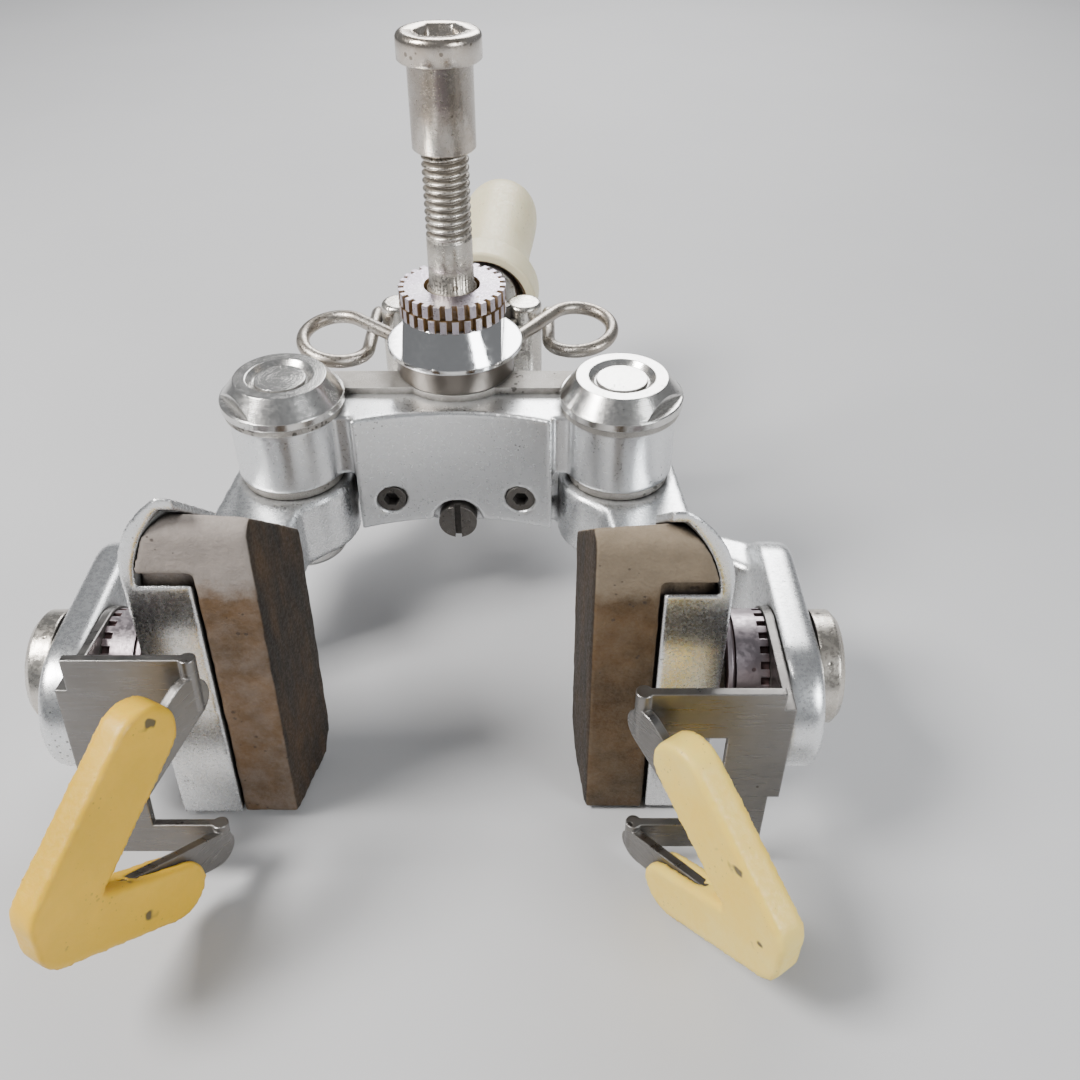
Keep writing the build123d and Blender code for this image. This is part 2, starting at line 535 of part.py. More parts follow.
# ---- cable adjuster ----------------------------------------------------------------
def adjuster():
    """Hollow screw, its cream cover and a loose ring, all on the leaning axis."""
    frame = stop_frame()
    screw = Pos(0, 0, 1.0) * Cylinder(SCREW_R, COVER_LENGTH - 5.0, align=LOW)
    screw -= Cylinder(CABLE_R, 80)
    screw -= Pos(0, 0, COVER_LENGTH - 12.0) * Cylinder(HOUSING_R, 20, align=LOW)
    keep("adjuster_screw", frame * screw)

    top = COVER_LENGTH
    sleeve = COVER_R - 1.35
    ring = Cylinder(COVER_R, RING_LENGTH, align=LOW) - Cylinder(sleeve + 0.02, RING_LENGTH, align=LOW)
    ring = fillet(ring.edges().filter_by(GeomType.CIRCLE).sort_by(SortBy.RADIUS)[-2:], 0.4)
    keep("adjuster_ring", frame * ring)

    foot = RING_LENGTH + 0.3
    outside = Polyline((sleeve, 0.8), (sleeve, foot), (7.2, foot + 0.3))
    outside += Spline(
        (7.2, foot + 0.3), (6.15, 14.0), (6.35, 24.0), (HOUSING_R + 0.3, top),
        tangents=((-0.2, 1.0), (-1.0, 0.12)),
    )
    outside += Polyline(
        (HOUSING_R + 0.3, top), (HOUSING_R + 0.3, top - 4.0), (SCREW_R + 0.02, top - 4.0),
        (SCREW_R + 0.02, 9.0), (sleeve - 0.6, 7.0), (sleeve - 0.6, 0.8), (sleeve, 0.8),
    )
    shell = revolve(make_face(Plane.XZ * outside), Axis.Z)
    keep("adjuster_cover", frame * shell)


# ---- pads --------------------------------------------------------------------------
def end_profile(offset):
    """Side outline of the pad's curved nose, set in by the holder's wall."""
    back = HOLDER_BACK_X - offset
    curve_x = END_CURVE_X
    crown = PAD_TOP_Z + HOLDER_WALL - offset
    middle = (back - 1.05, crown - 5.0)
    return ThreePointArc((curve_x, crown), middle, (back, LIP_TOP_Z))


def side_face(curve, front_x, bottom, back_x, drop=0.0):
    """Closed outline in the XZ plane made of a nose curve and straight sides."""
    top = curve @ 0
    tail = curve @ 1
    rest = Polyline((tail.X, tail.Y), (back_x, bottom), (front_x, bottom), (front_x, top.Y - drop), (top.X, top.Y))
    return make_face(Plane.XZ * (curve + rest))


def across(face, low_y, high_y):
    """Sweep an XZ outline between two Y planes, falling with the sloping nose."""
    rise = NOSE_SLOPE * (LIP_FACE_Y - low_y)
    length = (high_y - low_y) * math.hypot(1, NOSE_SLOPE)
    return Pos(0, low_y, rise) * extrude(face, length, dir=(0, 1, -NOSE_SLOPE))


def above_foot(solid):
    """Trim a falling sweep square at the pad's open end."""
    return solid & block((0, 60), (LIP_FACE_Y - 2, LIP_FACE_Y + PAD_HEIGHT + 2), (PAD_BOTTOM_Z, 5))


def block_outline():
    """Side outline of the rubber: sloping nose, rounded corners and a bevelled foot."""
    low, high = LIP_FACE_Y, LIP_FACE_Y + PAD_HEIGHT
    top = PAD_TOP_Z + 0.1
    outline = make_face(Polyline(
        (low, PAD_BOTTOM_Z), (low, top), (high, top - NOSE_SLOPE * PAD_HEIGHT),
        (high, PAD_BOTTOM_Z + PAD_FOOT_BEVEL), (high - PAD_FOOT_BEVEL * 0.7, PAD_BOTTOM_Z), close=True,
    ))
    nose = outline.vertices().sort_by(Axis.Y)[-1]
    outline = fillet(nose, PAD_CORNER[0])
    return fillet(outline.vertices().sort_by(Axis.X)[-2:], PAD_CORNER[1])


def brake_pad(side):
    """Rubber block: leaning braking face, full nose and a narrower root in the holder."""
    low, high = LIP_FACE_Y, LIP_FACE_Y + PAD_HEIGHT
    inner = HOLDER_WALL + 0.03
    face_x, tilt = PAD_FACE_X[side], math.tan(math.radians(PAD_TILT[side]))
    back = HOLDER_BACK_X - inner
    full = across(side_face(end_profile(inner), 10.0, PAD_BOTTOM_Z - 20, back, PAD_TOP_DROP), low, high)
    sides = ((low, low + HOLDER_WALL + 0.05, LIP_TOP_Z), (high - HOLDER_WALL - 0.05, high, LIP_TOP_Z - NOSE_SLOPE * PAD_HEIGHT))
    for edge_low, edge_high, lip_top in sides:
        full -= block((LIP_X - 0.35, HOLDER_BACK_X), (edge_low, edge_high), (PAD_BOTTOM_Z - 30, lip_top + 0.4 + NOSE_SLOPE * HOLDER_WALL))
    full = above_foot(full)
    full &= Pos(5, 0, 0) * extrude(Plane.YZ * block_outline(), 40, dir=(1, 0, 0))
    cutter = make_face(Polyline(
        (face_x - 12, low - 1), (face_x + tilt, low - 1),
        (face_x - tilt * (PAD_HEIGHT + 1), high + 1), (face_x - 12, high + 1), close=True,
    ))
    return full - slab(cutter, PAD_BOTTOM_Z - 1, 1)


def pad_holder():
    """Folded channel: back, two lips and a curved closed nose; stud on its back."""
    low, high = LIP_FACE_Y, LIP_FACE_Y + PAD_HEIGHT
    foot = PAD_BOTTOM_Z - 30
    shell = across(side_face(end_profile(0), LIP_X, foot, HOLDER_BACK_X), low, high)
    inside = side_face(end_profile(HOLDER_WALL), LIP_X - 5, foot - 1, HOLDER_BACK_X - HOLDER_WALL)
    shell -= across(inside, low + HOLDER_WALL, high - HOLDER_WALL)
    window = side_face(end_profile(HOLDER_WALL), LIP_X - 5, LIP_TOP_Z, HOLDER_BACK_X - HOLDER_WALL)
    for edge_low, edge_high in ((low - 1, low + HOLDER_WALL), (high - HOLDER_WALL, high + 1)):
        shell -= across(window, edge_low, edge_high)
    return above_foot(shell)


def pad_stud():
    """Threaded stud with the round boss that it stands on."""
    foot = HOLDER_BACK_X
    stud = rod_x(5.2, foot + 0.02, foot + 0.8, -REACH, STUD_Z)
    end = END_INNER_X + END_THICKNESS + PAD_NUT_HEIGHT - 0.4
    return stud + rod_x(STUD_R, foot + 0.8, end, -REACH, STUD_Z)


def turned_on_stud(profile, start):
    """Revolve a (radius, along) profile about the stud's axis from a place along X."""
    face = make_face(Plane.XY * profile)
    ring = Rot(0, 90, 0) * Rot(0, 0, 90) * Pos(0, 0, 0) * revolve(Plane.XZ * face, Axis.Z)
    return Pos(start, -REACH, STUD_Z) * ring


def toe_washers():
    """Convex and hollow washers that let the pad toe in."""
    start = HOLDER_BACK_X + 0.85
    bore = STUD_R + RUNNING
    rim, crown = 0.5, TOE_WASHER_THICKNESS
    bulge = crown - 0.35
    convex = Polyline((TOE_WASHER_R, rim), (TOE_WASHER_R, 0), (bore, 0), (bore, crown - 0.1))
    convex += ThreePointArc((bore, crown - 0.1), (TOE_WASHER_R * 0.72, bulge - 0.55), (TOE_WASHER_R, rim))
    length = END_INNER_X - GUIDE_SHEET - 0.12 - start
    outer = TOE_WASHER_R - 0.3
    hollow = Polyline((outer, rim + 0.45), (outer, length), (bore, length), (bore, crown + 0.02))
    hollow += ThreePointArc((bore, crown + 0.02), (TOE_WASHER_R * 0.72, bulge - 0.4), (outer, rim + 0.45))
    cup = turned_on_stud(hollow, start)
    teeth = 24
    for tooth in range(teeth):
        cut = block((start + length - 1.0, start + length), (outer - 0.5, outer + 1), (-0.42, 0.42))
        cup -= Pos(0, -REACH, STUD_Z) * Rot(360 / teeth * tooth, 0, 0) * cut
    return turned_on_stud(convex, start), cup


def pad_nut():
    """Round nut with a key socket that clamps the pad to the arm."""
    start = END_INNER_X + END_THICKNESS + 0.05
    end = start + PAD_NUT_HEIGHT
    nut = rod_x(PAD_NUT_R, start, end, -REACH, STUD_Z)
    nut = chamfer(nut.edges().filter_by(GeomType.CIRCLE).sort_by(Axis.X)[-1], 0.7)
    return nut - rod_x(STUD_R + 0.02, start, end, -REACH, STUD_Z)


# ---- wheel guides ------------------------------------------------------------------
def flare_frame(side):
    """Frame of the flared loop: X along the flare, Y up the pad, from the bend."""
    heading = math.radians(GUIDE_FLARE_DEG[side])
    along = Vector(math.cos(heading), -math.sin(heading), 0)
    return Plane(origin=(GUIDE_BEND_X[side], GUIDE_Y, 0), x_dir=along, z_dir=along.cross(Vector(0, 0, 1)))


def loop_outline(side, grow, start):
    """Triangle of two legs that meet at a rounded tip, drawn on the flare."""
    tip = GUIDE_LENGTH - 4.6
    top = GUIDE_TOP_Z[side]
    middle = (top + GUIDE_BOTTOM_Z) / 2 - 4.2
    upper = rounded_bar((start, top - 4.6), (tip, middle + 1.6), 2.6 + grow)
    lower = rounded_bar((start, GUIDE_BOTTOM_Z + 1.2), (tip, middle - 1.8), 2.1 + grow)
    nose = rounded_bar((tip, middle + 1.2), (tip, middle - 1.4), 2.5 + grow)
    return upper + lower + nose


def wheel_guide(side):
    """Sheet guide: tab on the stud, plate with a window, bend and flared loop."""
    sheet, bend_x, top = GUIDE_SHEET, GUIDE_BEND_X[side], GUIDE_TOP_Z[side]
    plate = block((bend_x, GUIDE_OUTER_X), (GUIDE_Y, GUIDE_Y + sheet), (GUIDE_BOTTOM_Z, top))
    plate -= block((bend_x - 3, GUIDE_OUTER_X - 5.4), (GUIDE_Y - 1, GUIDE_Y + 2), (GUIDE_BOTTOM_Z + 4.0, top - 6.6))
    tab_x = END_INNER_X - sheet - 0.06
    tab = block((tab_x, tab_x + sheet), (GUIDE_Y, -REACH), (STUD_Z - 7.0, STUD_Z + 7.0))
    tab += rod_x(7.0, tab_x, tab_x + sheet, -REACH, STUD_Z)
    tab -= rod_x(STUD_R + 0.1, tab_x - 1, tab_x + 2, -REACH, STUD_Z)
    plate += block((GUIDE_OUTER_X - 1, tab_x + sheet), (GUIDE_Y, GUIDE_Y + sheet), (STUD_Z - 7.0, STUD_Z + 7.0))
    frame = flare_frame(side)
    legs = extrude(frame * loop_outline(side, 0.0, 0.8), sheet / 2, both=True)
    fold = slab(Pos(bend_x, GUIDE_Y + sheet / 2) * Circle(sheet * 0.9), GUIDE_BOTTOM_Z, top)
    gap = block((bend_x - 3, bend_x + 3), (GUIDE_Y - 3, GUIDE_Y + 3), (GUIDE_BOTTOM_Z + 4.0, top - 6.6))
    return plate + tab + legs + (fold - gap)


def guide_coating(side):
    """Thick dipped coating over the loop's legs and tip."""
    frame = flare_frame(side)
    skin = extrude(frame * loop_outline(side, COATING_WALL, 7.4), GUIDE_SHEET / 2 + COATING_WALL, both=True)
    skin = skin - wheel_guide(side)
    return skin.solids().sort_by(SortBy.VOLUME)[-1]


def pads():
    """Everything that hangs on each pad stud, right then left."""
    convex, cup = toe_washers()
    keep("brake_pad_right", brake_pad(0))
    keep("brake_pad_left", pitched(mirror(brake_pad(1), Plane.YZ), LEFT_PITCH_DEG))
    pieces = {
        "pad_stud": (pad_stud(), 0.0),
        "toe_washer_convex": (convex, 0.0),
        "toe_washer_hollow": (cup, 0.0),
        "pad_nut": (pad_nut(), 0.0),
        "pad_holder": (pad_holder(), LEFT_PITCH_DEG),
    }
    for name, (right, turn) in pieces.items():
        both_sides(name, right, pitched(mirror(right, Plane.YZ), turn))
    for name, make in (("wheel_guide", wheel_guide), ("guide_coating", guide_coating)):
        both_sides(name, make(0), pitched(mirror(make(1), Plane.YZ), LEFT_GUIDE_PITCH_DEG))


def pitched(solid, angle):
    """Turn a piece about the pad stud's axis."""
    return Pos(0, -REACH, STUD_Z) * Rot(angle, 0, 0) * Pos(0, REACH, -STUD_Z) * solid


def main():
    """Build every piece and write one STEP file for each."""
    mounting_bolt()
    recessed_nut()
    serrated_washer()
    centring_nut()
    tie_plate()
    bridge()
    grub_screws()
    pivots()
    arms()
    posts()
    link_screw()
    springs()
    adjuster()
    pads()
    os.makedirs("parts", exist_ok=True)
    for name, solid in PIECES.items():
        export_step(solid, f"parts/{name}.step")


main()
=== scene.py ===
"""Looks of a single-plane rim brake caliper: finishes, fine pieces, light and camera."""

import logging
import math
from dataclasses import dataclass, field
from enum import Enum
from typing import Callable, Optional, Sequence

import bmesh
import bpy
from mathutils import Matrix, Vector, noise


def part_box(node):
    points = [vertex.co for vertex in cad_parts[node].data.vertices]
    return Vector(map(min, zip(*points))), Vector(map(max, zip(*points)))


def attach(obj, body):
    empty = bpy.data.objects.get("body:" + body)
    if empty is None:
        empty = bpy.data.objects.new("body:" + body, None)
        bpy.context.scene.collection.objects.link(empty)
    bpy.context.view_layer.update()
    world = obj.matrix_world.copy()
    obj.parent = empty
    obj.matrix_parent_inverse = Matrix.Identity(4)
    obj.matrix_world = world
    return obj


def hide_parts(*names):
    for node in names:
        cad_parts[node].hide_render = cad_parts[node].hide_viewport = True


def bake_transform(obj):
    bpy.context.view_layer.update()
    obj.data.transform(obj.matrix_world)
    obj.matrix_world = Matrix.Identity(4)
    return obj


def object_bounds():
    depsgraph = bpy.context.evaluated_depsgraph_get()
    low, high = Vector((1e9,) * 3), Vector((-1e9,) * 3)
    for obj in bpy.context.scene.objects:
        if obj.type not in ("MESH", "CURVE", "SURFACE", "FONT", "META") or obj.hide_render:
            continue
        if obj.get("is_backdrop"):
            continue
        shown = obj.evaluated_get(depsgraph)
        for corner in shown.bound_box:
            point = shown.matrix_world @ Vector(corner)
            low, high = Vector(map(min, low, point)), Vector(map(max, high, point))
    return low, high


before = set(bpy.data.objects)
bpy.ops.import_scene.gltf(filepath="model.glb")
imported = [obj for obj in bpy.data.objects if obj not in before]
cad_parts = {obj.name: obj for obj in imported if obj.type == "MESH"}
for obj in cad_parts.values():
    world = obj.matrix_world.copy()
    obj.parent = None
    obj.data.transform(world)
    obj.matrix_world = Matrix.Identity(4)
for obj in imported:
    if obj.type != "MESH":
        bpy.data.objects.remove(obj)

LOG = logging.getLogger("caliper")
MM = 0.001
Colour = tuple[float, float, float]
Point = tuple[float, float, float]
Radius = Callable[[float, float], float]

SEAT_RADIUS = 3.0 * MM
PIVOT_X = 22.5 * MM
PIVOT_Y = -9.0 * MM
STUD_Y = -43.5 * MM
STUD_Z = -27.5 * MM
ADJUSTER_FOOT: Point = (2.6 * MM, 21.0 * MM, -13.0 * MM)
ADJUSTER_TURN_DEG = 5.0
ADJUSTER_RISE_DEG = 6.5


class Side(Enum):
    """The two sides of the caliper, as mirror signs along X."""

    RIGHT = 1
    LEFT = -1

    @property
    def word(self) -> str:
        """Name ending of this side's pieces."""
        return self.name.lower()


class Turning(Enum):
    """Axis that a turned piece was spun on, as the two directions across it."""

    UPRIGHT = (1.0, 1.0, 0.0)
    SIDEWAYS = (0.0, 1.0, 1.0)


def adjuster_axis() -> Vector:
    """Direction of the cable adjuster's axis, away from the bridge."""
    turn, rise = math.radians(ADJUSTER_TURN_DEG), math.radians(ADJUSTER_RISE_DEG)
    return Vector((math.sin(turn) * math.cos(rise), math.cos(turn) * math.cos(rise), math.sin(rise)))


# ---- node helpers ------------------------------------------------------------------
class Board:
    """Small wrapper that adds and links nodes in one node tree."""

    def __init__(self, tree: bpy.types.NodeTree) -> None:
        """Keep the tree.

        Args:
            tree: node tree that the nodes go into.
        """
        self.tree = tree

    def add(self, kind: str, values: Optional[dict] = None, **settings: object) -> bpy.types.Node:
        """Add a node.

        Args:
            kind: Blender's node type name.
            values: input socket name or number to its value.
            settings: properties of the node itself.

        Returns:
            The new node.
        """
        node = self.tree.nodes.new(kind)
        for key, value in settings.items():
            setattr(node, key, value)
        for key, value in (values or {}).items():
            node.inputs[key].default_value = value
        return node

    def join(self, source: bpy.types.NodeSocket, target: bpy.types.NodeSocket) -> None:
        """Link two sockets."""
        self.tree.links.new(source, target)

    def math(self, operation: str, first: object, second: object = 0.0,
             clamp: bool = False) -> bpy.types.NodeSocket:
        """Add a Math node.

        Args:
            operation: Blender's operation name.
            first: socket or number.
            second: socket or number.
            clamp: keep the answer between 0 and 1.

        Returns:
            The answer's socket.
        """
        node = self.add("ShaderNodeMath", operation=operation, use_clamp=clamp)
        for place, value in enumerate((first, second)):
            if isinstance(value, bpy.types.NodeSocket):
                self.join(value, node.inputs[place])
            else:
                node.inputs[place].default_value = value
        return node.outputs[0]

    def mix(self, share: object, first: object, second: object) -> bpy.types.NodeSocket:
        """Mix two colours.

        Args:
            share: socket or number, how much of the second colour.
            first: socket or colour.
            second: socket or colour.

        Returns:
            The mixed colour's socket.
        """
        node = self.add("ShaderNodeMix", data_type="RGBA")
        for place, value in ((0, share), (6, first), (7, second)):
            if isinstance(value, bpy.types.NodeSocket):
                self.join(value, node.inputs[place])
            elif place:
                node.inputs[place].default_value = (*value, 1.0)
            else:
                node.inputs[place].default_value = value
        return node.outputs[2]

    def span(self, value: bpy.types.NodeSocket, low: float, high: float, to_low: float = 0.0,
             to_high: float = 1.0) -> bpy.types.NodeSocket:
        """Map a range of values smoothly onto another.

        Args:
            value: socket to map.
            low: value that gives to_low.
            high: value that gives to_high.
            to_low: lowest answer.
            to_high: highest answer.

        Returns:
            The mapped value's socket.
        """
        node = self.add("ShaderNodeMapRange", interpolation_type="SMOOTHSTEP")
        for place, number in ((1, low), (2, high), (3, to_low), (4, to_high)):
            node.inputs[place].default_value = number
        self.join(value, node.inputs[0])
        return node.outputs[0]


class Effect:
    """A shared effect: a node group with named inputs and outputs, built once."""

    built: dict[str, bpy.types.NodeTree] = {}

    def __init__(self, name: str, inputs: Sequence[tuple[str, str, object]],
                 outputs: Sequence[tuple[str, str]],
                 fill: Callable[[Board, bpy.types.Node, bpy.types.Node], None]) -> None:
        """Describe the group.

        Args:
            name: the group's name.
            inputs: name, socket type and default value of each input.
            outputs: name and socket type of each output.
            fill: adds the group's nodes between its input and output nodes.
        """
        self.name, self.inputs, self.outputs, self.fill = name, inputs, outputs, fill

    def tree(self) -> bpy.types.NodeTree:
        """Build the group, or return the one already built."""
        if self.name in Effect.built:
            return Effect.built[self.name]
        tree = bpy.data.node_groups.new(self.name, "ShaderNodeTree")
        for name, kind, value in self.inputs:
            socket = tree.interface.new_socket(name, in_out="INPUT", socket_type="NodeSocket" + kind)
            socket.default_value = value
        for name, kind in self.outputs:
            tree.interface.new_socket(name, in_out="OUTPUT", socket_type="NodeSocket" + kind)
        board = Board(tree)
        self.fill(board, board.add("NodeGroupInput"), board.add("NodeGroupOutput"))
        Effect.built[self.name] = tree
        return tree

    def place(self, board: Board, **values: object) -> bpy.types.Node:
        """Place the group in a material.

        Args:
            board: the material's nodes.
            values: input name to number, vector or socket.

        Returns:
            The group node.
        """
        node = board.add("ShaderNodeGroup", node_tree=self.tree())
        for key, value in values.items():
            if isinstance(value, bpy.types.NodeSocket):
                board.join(value, node.inputs[key])
            else:
                node.inputs[key].default_value = value
        return node


def fill_grain(board: Board, given: bpy.types.Node, out: bpy.types.Node) -> None:
    """Noise in the caliper's own frame, stretched as asked."""
    place = board.add("ShaderNodeTexCoord")
    scale = board.add("ShaderNodeVectorMath", operation="MULTIPLY")
    board.join(place.outputs["Object"], scale.inputs[0])
    board.join(given.outputs["Stretch"], scale.inputs[1])
    cloud = board.add("ShaderNodeTexNoise", {"Detail": 6.0, "Roughness": 0.62})
    board.join(scale.outputs[0], cloud.inputs["Vector"])
    board.join(given.outputs["Scale"], cloud.inputs["Scale"])
    board.join(board.span(cloud.outputs["Fac"], 0.3, 0.7), out.inputs["Value"])


def fill_crevice_dirt_and_shade(board: Board, given: bpy.types.Node, out: bpy.types.Node) -> None:
    """Dirt and painted shade in corners: ambient occlusion broken up by noise."""
    # Painted shade: ambient occlusion darkens corners and gaps between parts, mixed with dirt.
    shade = board.add("ShaderNodeAmbientOcclusion", samples=6)
    board.join(given.outputs["Reach"], shade.inputs["Distance"])
    hidden = board.math("SUBTRACT", 1.0, shade.outputs["AO"])
    place = board.add("ShaderNodeTexCoord")
    cloud = board.add("ShaderNodeTexNoise", {"Scale": 700.0, "Detail": 5.0, "Roughness": 0.7})
    board.join(place.outputs["Object"], cloud.inputs["Vector"])
    broken = board.math("ADD", board.math("MULTIPLY", cloud.outputs["Fac"], 0.9), 0.35)
    dirt_and_shade_share = board.math("MULTIPLY", board.math("MULTIPLY", hidden, broken), given.outputs["Amount"])
    board.join(board.span(dirt_and_shade_share, 0.12, 0.75), out.inputs["Mask"])


def fill_edges(board: Board, given: bpy.types.Node, out: bpy.types.Node) -> None:
    """Softened edge normals, and a mask of where the edges are."""
    soft = board.add("ShaderNodeBevel", samples=6)
    board.join(given.outputs["Radius"], soft.inputs["Radius"])
    sharp = board.add("ShaderNodeNewGeometry")
    along = board.add("ShaderNodeVectorMath", operation="DOT_PRODUCT")
    board.join(soft.outputs["Normal"], along.inputs[0])
    board.join(sharp.outputs["Normal"], along.inputs[1])
    place = board.add("ShaderNodeTexCoord")
    cloud = board.add("ShaderNodeTexNoise", {"Scale": 900.0, "Detail": 4.0})
    board.join(place.outputs["Object"], cloud.inputs["Vector"])
    bent = board.math("SUBTRACT", 1.0, along.outputs["Value"])
    worn = board.math("MULTIPLY", bent, board.math("ADD", cloud.outputs["Fac"], 0.4))
    board.join(board.span(worn, 0.01, 0.14), out.inputs["Mask"])
    board.join(soft.outputs["Normal"], out.inputs["Normal"])


def fill_pits(board: Board, given: bpy.types.Node, out: bpy.types.Node) -> None:
    """Scattered small pits."""
    place = board.add("ShaderNodeTexCoord")
    cells = board.add("ShaderNodeTexVoronoi", {"Randomness": 1.0})
    board.join(place.outputs["Object"], cells.inputs["Vector"])
    board.join(given.outputs["Scale"], cells.inputs["Scale"])
    sparse = board.add("ShaderNodeTexNoise", {"Scale": 160.0, "Detail": 3.0})
    board.join(place.outputs["Object"], sparse.inputs["Vector"])
    limit = board.math("MULTIPLY", board.span(sparse.outputs["Fac"], 0.42, 0.7), given.outputs["Size"])
    inside = board.math("SUBTRACT", limit, cells.outputs["Distance"])
    board.join(board.span(inside, 0.0, 0.06), out.inputs["Mask"])


def fill_rings(board: Board, given: bpy.types.Node, out: bpy.types.Node) -> None:
    """Fine tool rings round an axis."""
    place = board.add("ShaderNodeTexCoord")
    away = board.add("ShaderNodeVectorMath", operation="SUBTRACT")
    board.join(place.outputs["Object"], away.inputs[0])
    board.join(given.outputs["Centre"], away.inputs[1])
    flat = board.add("ShaderNodeVectorMath", operation="MULTIPLY")
    board.join(away.outputs[0], flat.inputs[0])
    board.join(given.outputs["Across"], flat.inputs[1])
    radius = board.add("ShaderNodeVectorMath", operation="LENGTH")
    board.join(flat.outputs[0], radius.inputs[0])
    waves = board.math("SINE", board.math("MULTIPLY", radius.outputs["Value"], given.outputs["Rings"]))
    cloud = board.add("ShaderNodeTexNoise", {"Scale": 1.0, "Detail": 4.0}, noise_dimensions="1D")
    board.join(board.math("MULTIPLY", radius.outputs["Value"], 9000.0), cloud.inputs["W"])
    both = board.math("ADD", board.math("MULTIPLY", waves, 0.25), cloud.outputs["Fac"])
    board.join(both, out.inputs["Height"])


def fill_band(board: Board, given: bpy.types.Node, out: bpy.types.Node) -> None:
    """Mask of how far a point is along a direction, with a ragged border."""
    place = board.add("ShaderNodeTexCoord")
    away = board.add("ShaderNodeVectorMath", operation="SUBTRACT")
    board.join(place.outputs["Object"], away.inputs[0])
    board.join(given.outputs["Origin"], away.inputs[1])
    along = board.add("ShaderNodeVectorMath", operation="DOT_PRODUCT")
    board.join(away.outputs[0], along.inputs[0])
    board.join(given.outputs["Direction"], along.inputs[1])
    cloud = board.add("ShaderNodeTexNoise", {"Scale": 420.0, "Detail": 5.0, "Roughness": 0.65})
    board.join(place.outputs["Object"], cloud.inputs["Vector"])
    uneven = board.math("SUBTRACT", cloud.outputs["Fac"], 0.5)
    ragged = board.math("MULTIPLY", uneven, given.outputs["Ragged"])
    depth = board.math("ADD", along.outputs["Value"], ragged)
    share = board.math("DIVIDE", depth, given.outputs["Width"])
    board.join(board.math("ADD", share, 0.5, clamp=True), out.inputs["Mask"])


def fill_facing(board: Board, given: bpy.types.Node, out: bpy.types.Node) -> None:
    """Mask of the faces that look along a direction."""
    place = board.add("ShaderNodeTexCoord")
    along = board.add("ShaderNodeVectorMath", operation="DOT_PRODUCT")
    board.join(place.outputs["Normal"], along.inputs[0])
    board.join(given.outputs["Direction"], along.inputs[1])
    board.join(board.span(along.outputs["Value"], 0.45, 0.8), out.inputs["Mask"])


GRAIN = Effect("grain", [("Scale", "Float", 100.0), ("Stretch", "Vector", (1, 1, 1))], [("Value", "Float")],
               fill_grain)
# Crevice mask from ambient occlusion: dirt together with painted shade.
CREVICE_DIRT_AND_SHADE = Effect("crevice_dirt_and_shade", [("Reach", "Float", 0.002), ("Amount", "Float", 1.0)], [("Mask", "Float")],
                 fill_crevice_dirt_and_shade)
EDGES = Effect("worn_edges", [("Radius", "Float", 0.0003)], [("Mask", "Float"), ("Normal", "Vector")],
               fill_edges)
PITS = Effect("fine_pits", [("Scale", "Float", 600.0), ("Size", "Float", 0.3)], [("Mask", "Float")],
              fill_pits)
RINGS = Effect("tool_rings", [("Centre", "Vector", (0, 0, 0)), ("Across", "Vector", (1, 1, 0)),
                              ("Rings", "Float", 30000.0)], [("Height", "Float")], fill_rings)
BAND = Effect("band", [("Origin", "Vector", (0, 0, 0)), ("Direction", "Vector", (0, 0, 1)),
                       ("Width", "Float", 0.001), ("Ragged", "Float", 0.002)], [("Mask", "Float")], fill_band)
FACING = Effect("facing", [("Direction", "Vector", (0, 0, 1))], [("Mask", "Float")], fill_facing)


# ---- finishes ----------------------------------------------------------------------
@dataclass(frozen=True)
class Zone:
    """Band of a surface with a colour set apart: own colour on the centring nut, painted shade on the cable
    adjuster.
    """

    origin: Point
    direction: Point
    colour: Colour
    roughness: float
    width: float = 0.4 * MM
    ragged: float = 0.6 * MM
    share: float = 1.0


